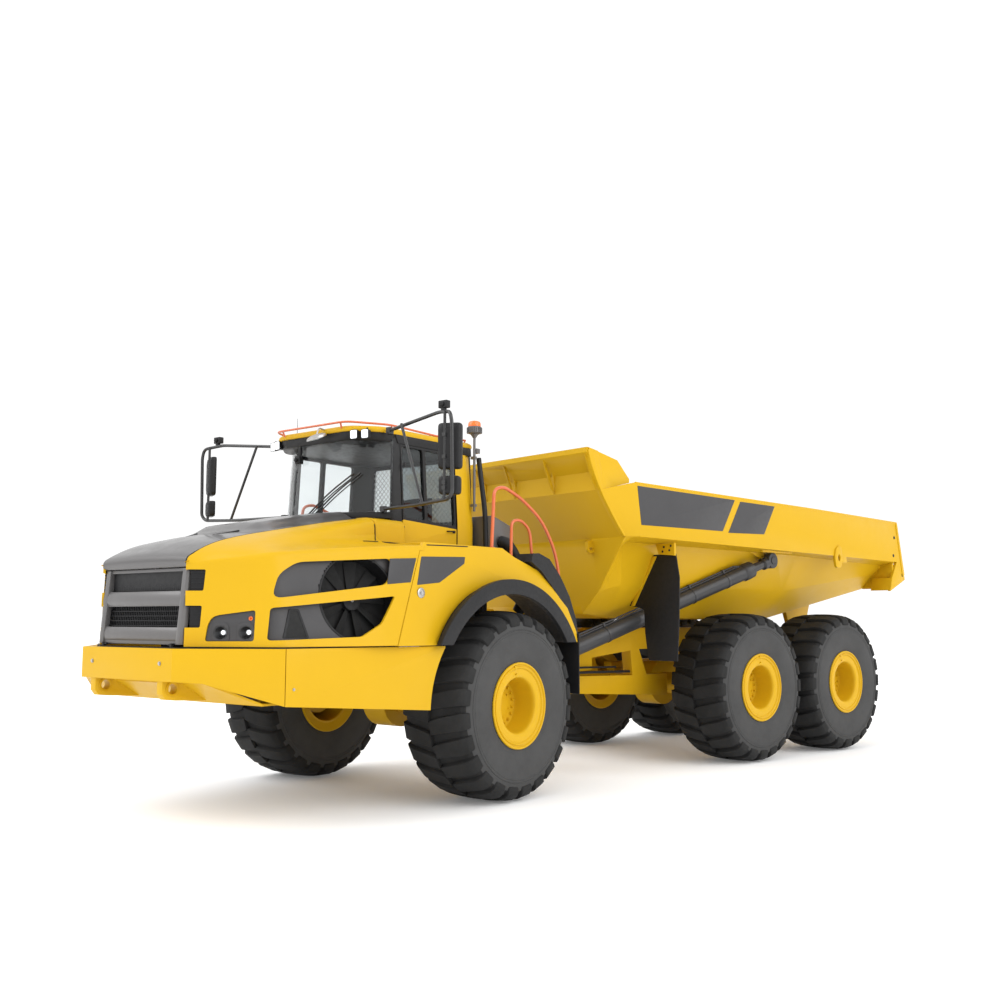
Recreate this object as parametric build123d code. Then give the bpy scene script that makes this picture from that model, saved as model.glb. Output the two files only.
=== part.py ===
from build123d import *
import math
import os

os.makedirs("parts", exist_ok=True)

# Articulated six-wheel dump truck, millimetres.
# Drawing frame: the hitch's vertical axis is X = Y = 0, +X is the truck's left, +Y runs rearward,
# +Z up. The trailing half (load unit) lies along Y. The tractor half is drawn straight ahead of the
# hitch and then turned about it by STEER_REST, because the truck stands slightly articulated.
# SX, SY, SZ move the drawing frame so that the row's origin is the middle of the footprint box.

# ---------------------------------------------------------------- driving dimensions
STEER_REST = 9.3            # the tractor's heading at rest, degrees, nose towards +X
SX, SY, SZ = -243.19, -1193.54, 25.0

HUB_Z = 875.0               # axle height in the drawing frame, 900 above the ground
TYRE_R = 900.0
TYRE_W = 774.0              # 29.5R25 section
TRACK = 2636.0
FLANGE_R, RIM_R = 406.0, 318.0
FRONT_AXLE_Y = -1277.0      # hitch is 1277 behind the front axle
MID_AXLE_Y = 3241.0         # wheelbase 4518
REAR_AXLE_Y = 5181.0        # bogie spacing 1940
BOGIE_Y = (MID_AXLE_Y + REAR_AXLE_Y) / 2
SPINDLE_R, BORE_R = 120.0, 120.05

BED_HALF = 1687.0           # load body 3374 wide
BED_T = 40.0
BED_PIVOT = (5700.0, 1450.0)        # tipping axis (y, z)
HOIST_FOOT = (856.0, 640.0, 1317.0)
HOIST_EYE = (1500.0, 3760.0, 2448.0)
HOIST_BARREL_R, HOIST_ROD_R = 88.0, 55.0

STEER_FOOT = (600.0, -1000.0, 1050.0)   # on the tractor
STEER_EYE = (480.0, 480.0, 1050.0)      # on the load unit
STEER_BARREL_R, STEER_ROD_R = 68.0, 38.0

ARCH_Y, ARCH_Z, ARCH_R = -1330.0, 870.0, 1203.0     # front wheel arch circle
TOW_X, TOW_Y, TOW_Z, TOW_R = 478.0, -4330.0, 1128.0, 40.0
HOOD_HINGE = (-4330.0, 1475.0)      # y, z


# ---------------------------------------------------------------- helpers
def box(x0, x1, y0, y1, z0, z1):
    return Pos((x0 + x1) / 2, (y0 + y1) / 2, (z0 + z1) / 2) * Box(x1 - x0, y1 - y0, z1 - z0)


def cyl(p, axis, r, length, centred=True):
    """Cylinder through p along axis."""
    d = Vector(*axis).normalized()
    start = Vector(*p) - d * (length / 2 if centred else 0)
    return Solid.make_cylinder(r, length, Plane(origin=start, z_dir=d))


def rod(p, q, r):
    a, b = Vector(*p), Vector(*q)
    return Solid.make_cylinder(r, (b - a).length, Plane(origin=a, z_dir=b - a))


def slab(points, vec):
    """Planar polygon of 3-D points swept along vec."""
    return Solid.extrude(Face(Wire.make_polygon([Vector(*p) for p in points])), Vector(*vec))


def prism_x(points, x0, x1):
    """Side profile of (y, z) points, from x0 to x1."""
    return slab([(x0, y, z) for y, z in points], (x1 - x0, 0, 0))


def prism_z(points, z0, z1):
    """Plan outline of (x, y) points, from z0 to z1."""
    return slab([(x, y, z0) for x, y in points], (0, 0, z1 - z0))


def loft(sections):
    return Solid.make_loft([Wire.make_polygon([Vector(*p) for p in s]) for s in sections], True)


def mirrored(half):
    """Section of (x, y, z) points for x > 0, top first, closed by its mirror image."""
    return half + [(-x, y, z) for x, y, z in reversed(half)]


def flip(shape):
    return mirror(shape, Plane.YZ)


def tube(points, r):
    """Bent tube: straight runs with a ball at each corner."""
    out = rod(points[0], points[1], r)
    for a, b in zip(points[1:], points[2:]):
        out += Pos(*a) * Sphere(r)
        out += rod(a, b, r)
    return out


def turn(profile):
    """Revolve (offset, radius) points about the X axis."""
    face = Face(Wire.make_polygon([Vector(o, r, 0) for o, r in profile]))
    return Solid.revolve(face, 360, Axis.X)


NODES = {}
TRACTOR, LOAD = "tractor", "load"


def add(name, shape, half):
    """One solid, or a list of like solids that do not touch."""
    loc = Pos(SX, SY, SZ) * (Rot(0, 0, STEER_REST) if half == TRACTOR else Pos(0, 0, 0))
    pieces = shape if isinstance(shape, list) else [shape]
    solids = [loc * piece for item in pieces for piece in item.solids()]
    NODES[name] = solids[0] if len(solids) == 1 else Compound(solids)


# ---------------------------------------------------------------- wheels
# side +1 is the left wheel. The rim's deep dish faces outward.
TYRE_PROFILE = [(352, 322), (352, 412), (357, 420), (381, 520), (387, 620), (378, 760), (350, 842), (290, 880), (180, 895), (0, 900)]
TYRE_INNER = [(0, 822), (220, 812), (295, 770), (325, 640), (318, 500), (296, 400), (296, 322)]


def wheel(side):
    outer = TYRE_PROFILE + [(-o, r) for o, r in reversed(TYRE_PROFILE[:-1])]
    inner = [(-o, r) for o, r in reversed(TYRE_INNER[1:])] + TYRE_INNER
    tyre = turn(outer + inner)
    rim = turn([(-366, 298), (366, 298), (366, FLANGE_R), (353.5, FLANGE_R), (353.5, RIM_R), (-353.5, RIM_R), (-353.5, FLANGE_R), (-366, FLANGE_R)])
    # mounting disc and the planetary hub housing inside it
    disc = turn([(60, 150), (60, 299), (95, 299), (95, 150)])
    hub = turn([(-150, BORE_R), (-150, 236), (112, 236), (112, 0), (103, 0), (103, BORE_R)])
    sleeve = turn([(95, 236), (300, 236), (318, 246), (344, 300), (344, 319), (326, 319), (290, 262), (95, 252)])
    rim = rim + disc + hub + sleeve
    if side < 0:
        tyre, rim = flip(tyre), flip(rim)
    return tyre, rim


WHEELS = (  # name, side, axle y, half
    ("front_left", 1, FRONT_AXLE_Y, TRACTOR),
    ("front_right", -1, FRONT_AXLE_Y, TRACTOR),
    ("middle_left", 1, MID_AXLE_Y, LOAD),
    ("middle_right", -1, MID_AXLE_Y, LOAD),
    ("rear_left", 1, REAR_AXLE_Y, LOAD),
    ("rear_right", -1, REAR_AXLE_Y, LOAD),
)
for name, side, y, half in WHEELS:
    tyre, rim = wheel(side)
    at = Pos(side * TRACK / 2, y, HUB_Z)
    add("tyre_" + name, at * tyre, half)
    add("rim_" + name, at * rim, half)


# ---------------------------------------------------------------- axles
def axle(y, nose):
    """Axle tube with differential housing and the two spindles; nose is the side the drive comes from."""
    hx = TRACK / 2
    a = cyl((0, y, HUB_Z), (1, 0, 0), 135, 2 * (hx - 160))
    a += cyl((0, y, HUB_Z), (1, 0, 0), SPINDLE_R, 2 * (hx + 100))
    for s in (1, -1):
        a += cyl((s * (hx - 175), y, HUB_Z), (1, 0, 0), 210, 30)
    a += cyl((0, y, HUB_Z), (1, 0, 0), 285, 300)
    a += cyl((0, y + nose * 165, HUB_Z), (0, 1, 0), 140, 330)
    return a


front_axle = axle(FRONT_AXLE_Y, 1)
for s in (1, -1):   # spring seats, clear of the frame beams above
    front_axle += box(s * 430 - 90, s * 430 + 90, FRONT_AXLE_Y - 150, FRONT_AXLE_Y + 150, HUB_Z - 60, HUB_Z + 175)
    front_axle += cyl((s * 430, FRONT_AXLE_Y, HUB_Z + 215), (0, 0, 1), 95, 90)
add("front_axle", front_axle, TRACTOR)
rear_axles = []
for y in (MID_AXLE_Y, REAR_AXLE_Y):
    a = axle(y, -1)
    for s in (1, -1):   # rubber spring seats under the rocking beams
        a += box(s * 692 - 65, s * 692 + 65, y - 110, y + 110, HUB_Z + 60, 1033)
    rear_axles.append(a)
add("rear_axles", rear_axles, LOAD)

# bogie beams: one rocking beam each side, its ends over the two axles
BEAM = [(MID_AXLE_Y - 170, 1035), (MID_AXLE_Y + 170, 1035), (BOGIE_Y - 200, 860), (BOGIE_Y + 200, 860),
        (REAR_AXLE_Y - 170, 1035), (REAR_AXLE_Y + 170, 1035), (REAR_AXLE_Y + 170, 1120),
        (BOGIE_Y + 260, 1150), (BOGIE_Y - 260, 1150), (MID_AXLE_Y - 170, 1120)]
beam = prism_x(BEAM, 622, 762)
add("bogie_beams", [beam, flip(beam)], LOAD)

# ---------------------------------------------------------------- load unit's frame
FRAME_X0, FRAME_X1 = 330.0, 480.0
rear_beam = prism_x([(1500, 1240), (2350, 1330), (6050, 1330), (6050, 1590), (2250, 1590), (700, 1290), (700, 1030), (1500, 1100)], FRAME_X0, FRAME_X1)
lower_beam = prism_x([(700, 850), (2300, 770), (2900, 740), (2900, 1010), (2500, 1010), (2360, 1335), (2200, 1335), (2230, 1010), (700, 1035)], FRAME_X0, FRAME_X1)
side_beam = rear_beam + lower_beam
# bogie trunnion bracket, down from the beam to the rocking beams
side_beam += prism_x([(BOGIE_Y - 420, 1335), (BOGIE_Y + 420, 1335), (BOGIE_Y + 150, 930), (BOGIE_Y - 150, 930)], FRAME_X0 + 20, FRAME_X1)
side_beam += cyl(((FRAME_X1 + 618) / 2, BOGIE_Y, 1005), (1, 0, 0), 110, 618 - FRAME_X1 + 4)
# body pivot lug at the frame's tail, bored for the tipping pin
lug = prism_x([(5450, 1500), (5450, 1330), (BED_PIVOT[0] - 130, 1330), (BED_PIVOT[0], 1320), (BED_PIVOT[0] + 130, 1400), (BED_PIVOT[0] + 130, 1520), (6050, 1585), (5450, 1585)], FRAME_X1 - 1, FRAME_X1 + 70)
side_beam += lug
# hoist foot bracket: outrigger with a boss
side_beam += box(FRAME_X0, HOIST_FOOT[0] - 110, 800, 960, 1130, 1290)
side_beam += prism_x([(800, 1130), (960, 1130), (960, 1290), (700, 1420), (560, 1400), (530, 1300), (600, 1215)], HOIST_FOOT[0] - 150, HOIST_FOOT[0] - 110)
side_beam += cyl((HOIST_FOOT[0] - 20, HOIST_FOOT[1], HOIST_FOOT[2]), (1, 0, 0), 38, 200)
side_beam -= cyl((500, BED_PIVOT[0], BED_PIVOT[1]), (1, 0, 0), 60.05, 300)
frame = side_beam + flip(side_beam)
for y0, y1, z0, z1 in ((700, 820, 850, 1290), (2250, 2420, 1340, 1570), (3900, 4500, 1350, 1570), (5850, 6000, 1350, 1570), (2700, 2880, 760, 990)):
    frame += box(-FRAME_X0 - 5, FRAME_X0 + 5, y0, y1, z0, z1)
# tail hitch: bored lug for towing from behind
frame += box(-110, 110, 5995, 6110, 1360, 1560)
frame += box(-40, 40, 6100, 6240, 1355, 1505)
frame -= cyl((0, 6172, 1430), (1, 0, 0), TOW_R, 200)
add("rear_frame", frame, LOAD)

# hitch yoke: the roll tube behind and the lug that the tractor's fork holds
yoke = cyl((0, 540, 1030), (0, 1, 0), 190, 318)
yoke += prism_z([(-120, 0), (-170, 400), (170, 400), (120, 0)], 930, 1130)
yoke += cyl((0, 0, 1030), (0, 0, 1), 150, 260)
for s in (1, -1):   # steering cylinder's clevis plates, above and below the rod's eye
    for z in (947, 1125):
        yoke += prism_z([(s * 120, 380), (s * 160, 640), (s * 400, 590), (s * 545, 520), (s * 545, 430), (s * 450, 400)], z, z + 28)
yoke -= cyl((0, 0, 1030), (0, 0, 1), 70.05, 400)
add("hitch_yoke", yoke, LOAD)

# ---------------------------------------------------------------- load body
# outer shell sections: front plate, side's front edge, start of the tail chute, tail
FOLD_Z = 2600.0
LOW = [  # y at the fold line, y gained per mm below it, half section of (x, z) below the fold
    (850, 0.1786, [(1600, 2600), (1440, 2420), (1110, 2018), (800, 1760)]),
    (1002, 0.47, [(1687, 2600), (1400, 2560), (1180, 2080), (830, 1717)]),
    (4500, 0.0, [(1687, 2560), (1400, 2545), (1160, 2080), (830, 1700)]),
    (6700, 0.0, [(1687, 2530), (1500, 2480), (1400, 2380), (1180, 2180)]),
]
TOP = [
    [(1600, 450, 3085), (1600, 850, 2600)],
    [(1687, 925, 3195), (1687, 1002, 2600)],
    [(1687, 4500, 3147), (1687, 4500, 2560)],
    [(1687, 6700, 3100), (1687, 6700, 2530)],
]


def low_row(row, front=0.0, side=0.0, drops=(0, 0, 0, 0)):
    y0, k, pts = row
    return [(x - side, y0 + front + k * (FOLD_Z - z - dz), z + dz) for (x, z), dz in zip(pts, drops)]


def top_row(row, front=0.0, side=0.0, lift=0.0):
    (xa, ya, za), (xb, yb, zb) = row
    return [(xa - side, ya + front, za), (xb - side, yb + front, zb + lift)]


outer = loft([mirrored(low_row(r)) for r in LOW]) + loft([mirrored(top_row(r)) for r in TOP])
ENDS = (48, 0, 0, 80)       # the cavity starts behind the front plate and runs out of the tail
low_in = [low_row(r, e, 42, (40, 38, 22, 42)) for r, e in zip(LOW, ENDS)]
top_in = [top_row(r, e, 42, 20) for r, e in zip(TOP, ENDS)]
cavity = loft([mirrored(r) for r in low_in]) + loft([mirrored(r) for r in top_in])
# open top: the cavity carries on upward from its rim
lid = [[(r[0][0], r[0][1] - 20, r[0][2] + 400), (r[0][0], r[0][1], r[0][2] - 1)] for r in top_in]
cavity += loft([mirrored(r) for r in lid])
shell = outer - cavity
corner = 985
head = shell & box(-1800, 1800, -500, corner, 1000, 4000)
rest = shell & box(-1800, 1800, corner, 7000, 1000, 4000)
SPLIT_X = 800.0
floor = rest & box(-SPLIT_X, SPLIT_X, 0, 7000, 1000, 4000)
side = rest & box(SPLIT_X, 1800, 0, 7000, 1000, 4000)

# side: tail end cheek, lifting eye, hoist bracket, flap bracket, top rail
side += prism_x([(6690, 3100), (6660, 2540), (6500, 2300), (6440, 2110), (6869, 2282), (6851, 2358)], BED_HALF - BED_T, BED_HALF)
for x in (HOIST_EYE[0] - 105, HOIST_EYE[0] + 82):
    side += prism_x([(3440, 2545), (3640, 2480), (3690, 2370), (3830, 2370), (3880, 2480), (4080, 2545), (4080, 2590), (3440, 2590)], x, x + 20)
side += box(BED_HALF - 60, BED_HALF - 5, 5150, 5290, 2470, 2580)
add("bed_side_left", side, LOAD)
add("bed_side_right", flip(side), LOAD)

# floor with the tipping lugs under it
for s in (1, -1):
    floor += prism_x([(5350, 1960), (5560, 1460), (5640, 1370), (5760, 1370), (5840, 1460), (6100, 2100)], s * 590 - 32, s * 590 + 32)
    floor += cyl((s * 545, BED_PIVOT[0], BED_PIVOT[1]), (1, 0, 0), 60, 160)
floor -= loft([mirrored(r) for r in low_in])
floor -= box(-2000, 2000, 6760, 7000, 1000, 4000)
add("bed_floor", floor, LOAD)

# headboard: leaning plates, the overhanging guard and its ribs
head += prism_x([(452, 3085), (490, 3100), (490, 3320), (285, 3530), (250, 3530), (250, 3475), (452, 3290)], -1590, 1590)
for s in (1, -1):
    for x in (1545, 900, 250):
        head += prism_x([(455, 3087), (280, 3480), (252, 3480), (395, 3160)], s * x - 12, s * x + 12)
    wing = prism_x([(470, 3087), (470, 3320), (268, 3530), (733, 3430), (925, 3240), (925, 3197)], 1558, 1598)
    head += wing if s > 0 else flip(wing)
    # lifting eye plate on its front
    head += prism_x([(780, 2500), (780, 2560), (835, 2588), (885, 2560), (885, 2500)], s * 1080 - 25, s * 1080 + 25)
add("bed_headboard", head, LOAD)

# rubber sheets across the body's shoulders, ahead of the middle wheels, cut to the body's own section
FLAP_Y = 1632.0
flap = slab([(x, FLAP_Y, z) for x, z in ((1668, 2440), (1715, 2170), (1700, 1700), (1668, 1225), (1255, 1225), (1240, 1262), (1200, 1540), (1190, 1800), (1130, 1830), (960, 1856), (950, 1876), (1240, 2440))], (0, 15, 0))
flap -= outer
add("bed_flaps", [flap, flip(flap)], LOAD)


# ---------------------------------------------------------------- hoist cylinders
def unit(a, b):
    v = Vector(*b) - Vector(*a)
    return v.normalized(), v.length


def hoist(side):
    foot = Vector(HOIST_FOOT[0], HOIST_FOOT[1], HOIST_FOOT[2])
    d, length = unit(HOIST_FOOT, HOIST_EYE)
    barrel_end = 3010.0
    barrel = Solid.make_cylinder(HOIST_BARREL_R, barrel_end - 110, Plane(origin=foot + d * 110, z_dir=d))
    barrel += Solid.make_cylinder(HOIST_BARREL_R + 16, 120, Plane(origin=foot + d * (barrel_end - 120), z_dir=d))
    barrel += cyl(tuple(foot), (1, 0, 0), 100, 70)
    barrel += Solid.make_cylinder(70, 130, Plane(origin=foot + d * 60, z_dir=d))
    barrel -= cyl(tuple(foot), (1, 0, 0), 43.0, 300)     # room for the barrel's swing on its pin
    barrel -= Solid.make_cylinder(HOIST_ROD_R + 0.05, 2800, Plane(origin=foot + d * 260, z_dir=d))
    eye = Vector(*HOIST_EYE)
    shaft = Solid.make_cylinder(HOIST_ROD_R, length - 420, Plane(origin=foot + d * 340, z_dir=d))
    shaft += cyl(HOIST_EYE, (1, 0, 0), 92, 74)
    if side < 0:
        barrel, shaft = flip(barrel), flip(shaft)
    return barrel, shaft


for tag, s in (("left", 1), ("right", -1)):
    barrel, shaft = hoist(s)
    add("hoist_barrel_" + tag, barrel, LOAD)
    add("hoist_rod_" + tag, shaft, LOAD)


# ---------------------------------------------------------------- steering cylinders
def tractor_to_load(p):
    c, s = math.cos(math.radians(STEER_REST)), math.sin(math.radians(STEER_REST))
    return (c * p[0] - s * p[1], s * p[0] + c * p[1], p[2])


def steering(side):
    foot = tractor_to_load((side * STEER_FOOT[0], STEER_FOOT[1], STEER_FOOT[2]))
    eye = (side * STEER_EYE[0], STEER_EYE[1], STEER_EYE[2])
    d, length = unit(foot, eye)
    f = Vector(*foot)
    barrel = Solid.make_cylinder(STEER_BARREL_R, 840, Plane(origin=f + d * 60, z_dir=d))
    barrel += cyl(foot, (0, 0, 1), 75, 100)
    barrel -= cyl(foot, (0, 0, 1), 35.0, 200)
    barrel -= Solid.make_cylinder(STEER_ROD_R + 0.05, 840, Plane(origin=f + d * 80, z_dir=d))
    shaft = Solid.make_cylinder(STEER_ROD_R, 950, Plane(origin=Vector(*eye) - d * 990, z_dir=d))
    shaft += cyl(eye, (0, 0, 1), 62, 100)
    return barrel, shaft


for tag, s in (("left", 1), ("right", -1)):
    barrel, shaft = steering(s)
    add("steering_barrel_" + tag, barrel, LOAD)
    add("steering_rod_" + tag, shaft, LOAD)

# ---------------------------------------------------------------- tractor frame
side_rail = prism_x([(-4150, 1180), (-4150, 1400), (-900, 1400), (-420, 1290), (-420, 1160), (-900, 1150), (-2000, 1150), (-2600, 1050), (-3900, 1050)], 300, 420)
front_frame = side_rail + flip(side_rail)
for y0, y1, z0, z1 in ((-4100, -3950, 1112, 1380), (-2700, -2550, 1080, 1170), (-900, -760, 1160, 1380)):
    front_frame += box(-305, 305, y0, y1, z0, z1)
# fork of the hitch: upper and lower plates joined by a web ahead of the swing, with the pin
front_frame += prism_z([(-160, -20), (-415, -560), (-415, -900), (415, -900), (415, -560), (160, -20), (60, 150), (-60, 150)], 1175, 1235)
front_frame += prism_z([(-160, -20), (-415, -560), (-415, -900), (415, -900), (415, -560), (160, -20), (60, 150), (-60, 150)], 825, 885)
front_frame += prism_z([(-430, -900), (-430, -830), (-330, -560), (330, -560), (430, -830), (430, -900)], 880, 1180)
front_frame += cyl((0, 0, 1030), (0, 0, 1), 70, 460)
for s in (1, -1):   # steering cylinder's foot, a clevis on a bracket with its pin
    for z in (947, 1125):
        front_frame += prism_z([(s * 400, -940), (s * 400, -800), (s * 560, -880), (s * 680, -940), (s * 680, -1060), (s * 540, -1070)], z, z + 28)
    front_frame += cyl((s * 600, -1000, 1050), (0, 0, 1), 34.95, 160)
add("front_frame", front_frame, TRACTOR)
add("engine_block", box(-290, 290, -3900, -2750, 1120, 2000) + box(-200, 200, -2751, -1700, 1180, 1600) + box(-300, 300, -3700, -3500, 1405, 1480) + box(-420, -299, -3700, -3500, 1405, 1430) + box(299, 420, -3700, -3500, 1405, 1430), TRACTOR)

# ---------------------------------------------------------------- bumper, skirts, fenders
NOSE = (645.0, -4436.0)     # bumper's crease
SEAM = (1340.0, -3873.0)    # bumper to skirt
SKIRT_END = (1560.0, -2216.0)
BELT = 1450.0               # top of bumper and skirts


def wall(a, b, z0a, z0b, z1, t):
    """Upright wall from plan point a to b with thickness t towards the truck's middle."""
    dx, dy = b[0] - a[0], b[1] - a[1]
    n = math.hypot(dx, dy)
    return slab([(a[0], a[1], z0a), (b[0], b[1], z0b), (b[0], b[1], z1), (a[0], a[1], z1)], (-t * dy / n, t * dx / n, 0))


bumper = slab([(-NOSE[0], NOSE[1], BELT), (NOSE[0], NOSE[1], BELT), (NOSE[0], NOSE[1], 1190), (-NOSE[0], NOSE[1], 1190)], (0, 50, 0))
f = 0.27        # its lower edge drops behind the tow eyes only
knee = (NOSE[0] + f * (SEAM[0] - NOSE[0]), NOSE[1] + f * (SEAM[1] - NOSE[1]))
wx, wy = (SEAM[0] - NOSE[0]), (SEAM[1] - NOSE[1])
wn = math.hypot(wx, wy)
corner_wall = slab([(*NOSE, 1190), (*knee, 1178), (*SEAM, 1000), (*SEAM, BELT), (*NOSE, BELT)], (-45 * wy / wn, 45 * wx / wn, 0))
# top ledge under the grille and the lower tray, sloping down to the rear
bumper += corner_wall + flip(corner_wall)
ledge = prism_z([(-640, -4430), (640, -4430), (1330, -3873), (1250, -3860), (560, -4330), (-560, -4330), (-1250, -3860), (-1330, -3873)], 1425, 1449)
tray = loft([[(-640, -4420, 1192), (640, -4420, 1192), (640, -4420, 1212), (-640, -4420, 1212)],
             [(-800, -4275, 1184), (800, -4275, 1184), (800, -4275, 1204), (-800, -4275, 1204)]])
tray += loft([[(-800, -4275, 1184), (800, -4275, 1184), (800, -4275, 1204), (-800, -4275, 1204)],
              [(-1180, -3960, 1000), (1180, -3960, 1000), (1180, -3960, 1020), (-1180, -3960, 1020)]])
tray += box(-1180, 1180, -3965, -3700, 1000, 1020)
bumper += ledge + tray
for s in (1, -1):   # tow eyes: upright plates with a cross bore
    eye = prism_x([(TOW_Y - 95, TOW_Z - 40), (TOW_Y - 60, TOW_Z - 85), (TOW_Y + 40, TOW_Z - 95), (TOW_Y + 330, 1020), (TOW_Y + 330, 1150), (TOW_Y + 60, 1215), (TOW_Y - 95, 1205)], s * TOW_X - 35, s * TOW_X + 35)
    bumper += eye
    bumper -= cyl((s * TOW_X, TOW_Y, TOW_Z), (1, 0, 0), TOW_R, 200)
for s in (1, -1):   # lugs and pins of the hood's hinge
    bumper += box(s * 488 - 10, s * 488 + 10, HOOD_HINGE[0] - 16, HOOD_HINGE[0] + 14, 1440, HOOD_HINGE[1] + 14)
    bumper += cyl((s * 468, *HOOD_HINGE), (1, 0, 0), 10, 50)
add("front_bumper", bumper, TRACTOR)

skirt = wall((SEAM[0] + 1.0, SEAM[1] + 8.0), SKIRT_END, 998, 880, BELT, 42)
skirt -= cyl((1500, ARCH_Y, ARCH_Z), (1, 0, 0), 1050, 1200)
skirt -= wall(NOSE, (SEAM[0] + 3.1, SEAM[1] + 2.5), 900, 900, BELT + 20, 70)
add("side_skirts", [skirt, flip(skirt)], TRACTOR)

# fender: outer plate over the wheel, deck on top, rear slope
# the fender's side leans inward as it rises and spreads outward towards the rear
def fender_x(y, z):
    return 1550 + 0.0329 * (y + 2820) - 0.1344 * (z - 1450)


SIDE_FAR = [(fender_x(y, z), y, z) for y, z in ((-3200, 1200), (300, 1200), (300, 2600), (-3200, 2600))]
fender_skin = slab(SIDE_FAR, (-40, 0, 0))
fender_inside = slab(SIDE_FAR, (-1500, 0, 0))
SEAM_LINE = [(-2445, 2300), (-2815, 1455)]      # joint between hood and fender, (y, z)
plate = prism_x([(-2438, 2300), (-2808, 1458), (-236, 1458), (-236, 1560), (-350, 1800), (-560, 2020), (-767, 2166), (-1120, 2285), (-1300, 2380), (-2380, 2380)], 1200, 1800) & fender_skin
plate -= cyl((1500, ARCH_Y, ARCH_Z), (1, 0, 0), ARCH_R - 40, 1200)
plate -= cyl((1700, ARCH_Y, ARCH_Z), (1, 0, 0), ARCH_R + 1, 202)
deck = box(806, 1550, -2385, -1290, 2345, 2380) & fender_inside
rear = prism_x([(-1290, 2345), (-1290, 2380), (-1115, 2298), (-755, 2178), (-340, 1806), (-230, 1560), (-255, 1550), (-365, 1790), (-570, 2005), (-775, 2145), (-1125, 2265)], 1000, 1700) & fender_inside
fender = plate + deck + rear
add("fenders", [fender, flip(fender)], TRACTOR)

lip = (cyl((1630, ARCH_Y, ARCH_Z), (1, 0, 0), ARCH_R, 58) - cyl((1630, ARCH_Y, ARCH_Z), (1, 0, 0), ARCH_R - 145, 200)) & box(1500, 1700, -2600, 0, 1458, 2200)
arch = (cyl((1440, ARCH_Y, ARCH_Z), (1, 0, 0), ARCH_R - 41, 438) - cyl((1500, ARCH_Y, ARCH_Z), (1, 0, 0), ARCH_R - 61, 800)) & box(1200, 1700, -2600, 0, 1458, 2200)
arch += lip
mud_flap = box(1230, 1650, ARCH_Y + 1096, ARCH_Y + 1111, 930, 1545)
add("wheel_arches", [arch, flip(arch), mud_flap, flip(mud_flap)], TRACTOR)

# ---------------------------------------------------------------- hood
HOOD = (  # y, crown half width, crown z, shoulder x, shoulder z, foot x
    (-4290, 540, 2175, 600, 2110, 640),
    (-3880, 590, 2365, 1165, 2170, 1290),
    (-3000, 620, 2540, 1330, 2290, 1450),
    (-2400, 640, 2630, 1400, 2340, 1530),
)
HOOD_Z = 1460.0


def hood_half(row, t):
    y, cx, cz, sx, sz, fx = row
    return [(cx - t * 0.4, y, cz - t), (sx - t, y, sz - t * 0.7), (fx - t, y, HOOD_Z - (0 if t == 0 else 60))]


hood = loft([mirrored(hood_half(r, 0)) for r in HOOD])
inner_rows = [(HOOD[0][0] - 40,) + HOOD[0][1:]] + list(HOOD[1:3]) + [(HOOD[3][0] + 60,) + HOOD[3][1:]]
hood -= loft([mirrored(hood_half(r, 45)) for r in inner_rows])
UPPER_INTAKE = [(-3905, 1850), (-3850, 2050), (-3690, 2150), (-2760, 2215), (-2840, 1985)]
LOWER_INTAKE = [(-3940, 1515), (-3915, 1775), (-2780, 1886), (-2950, 1650), (-3150, 1540)]
for pts in (UPPER_INTAKE, LOWER_INTAKE):
    hood -= prism_x(pts, -1700, -900)
    hood -= prism_x(pts, 900, 1700)
hood -= box(-598, 598, -4300, -4246, 1400, 2108)
for x0, x1 in ((900, 1800), (-1800, -900)):     # its flanks end at the fender's slanting joint
    hood -= prism_x([(SEAM_LINE[0][0], SEAM_LINE[0][1]), (SEAM_LINE[1][0], SEAM_LINE[1][1]), (-2830, 1400), (-2300, 1400), (-2300, 2300)], x0, x1)
add("hood", hood, TRACTOR)

grille = box(-592, 592, -4310, -4262, 1470, 2095)
for z0, z1 in ((1920, 2075), (1620, 1790)):
    grille -= box(-530, 530, -4400, -4200, z0, z1)
grille += box(-540, 540, -4280, -4262, 1480, 2090)
for s in (1, -1):   # hinge knuckles at its foot
    knuckle = box(s * 460 - 15, s * 460 + 15, HOOD_HINGE[0], -4305, HOOD_HINGE[1] - 3, HOOD_HINGE[1] + 16) + cyl((s * 460, *HOOD_HINGE), (1, 0, 0), 16, 30)
    grille += knuckle - cyl((s * 460, *HOOD_HINGE), (1, 0, 0), 10.05, 60)
add("grille", grille, TRACTOR)

# round fan cowls behind the side intakes
FAN_Y, FAN_Z, FAN_R, FAN_TURN = -3060.0, 1865.0, 335.0, 17.0
fd = (math.cos(math.radians(FAN_TURN)), -math.sin(math.radians(FAN_TURN)), 0)
cowl = cyl((1080, FAN_Y, FAN_Z), fd, FAN_R, 240) - cyl((1080 + 30 * fd[0], FAN_Y + 30 * fd[1], FAN_Z), fd, FAN_R - 22, 240)
cowl += box(422, 1030, FAN_Y - 60, FAN_Y + 60, 1500, 1540) + box(422, 462, FAN_Y - 60, FAN_Y + 60, 1200, 1520)
add("fan_cowls", [cowl, flip(cowl)], TRACTOR)

# ---------------------------------------------------------------- cab
CAB_X0, CAB_X1 = 800.0, 740.0       # half width at the belt and at the roof
CAB_REAR, CAB_FRONT = -860.0, -2150.0
SILL, BELT_Z, HEAD_Z, ROOF_Z = 1900.0, 2640.0, 3440.0, 3560.0
CAB_PLAN = [(CAB_X0, CAB_REAR), (CAB_X0, -2000), (700, CAB_FRONT), (420, -2395), (-420, -2395), (-700, CAB_FRONT), (-CAB_X0, -2000), (-CAB_X0, CAB_REAR)]


def shrink(plan, t, rear=True):
    cy = (CAB_REAR + CAB_FRONT) / 2
    return [(x - math.copysign(t, x), y + (t if y < cy else -t)) for x, y in plan]


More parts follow.
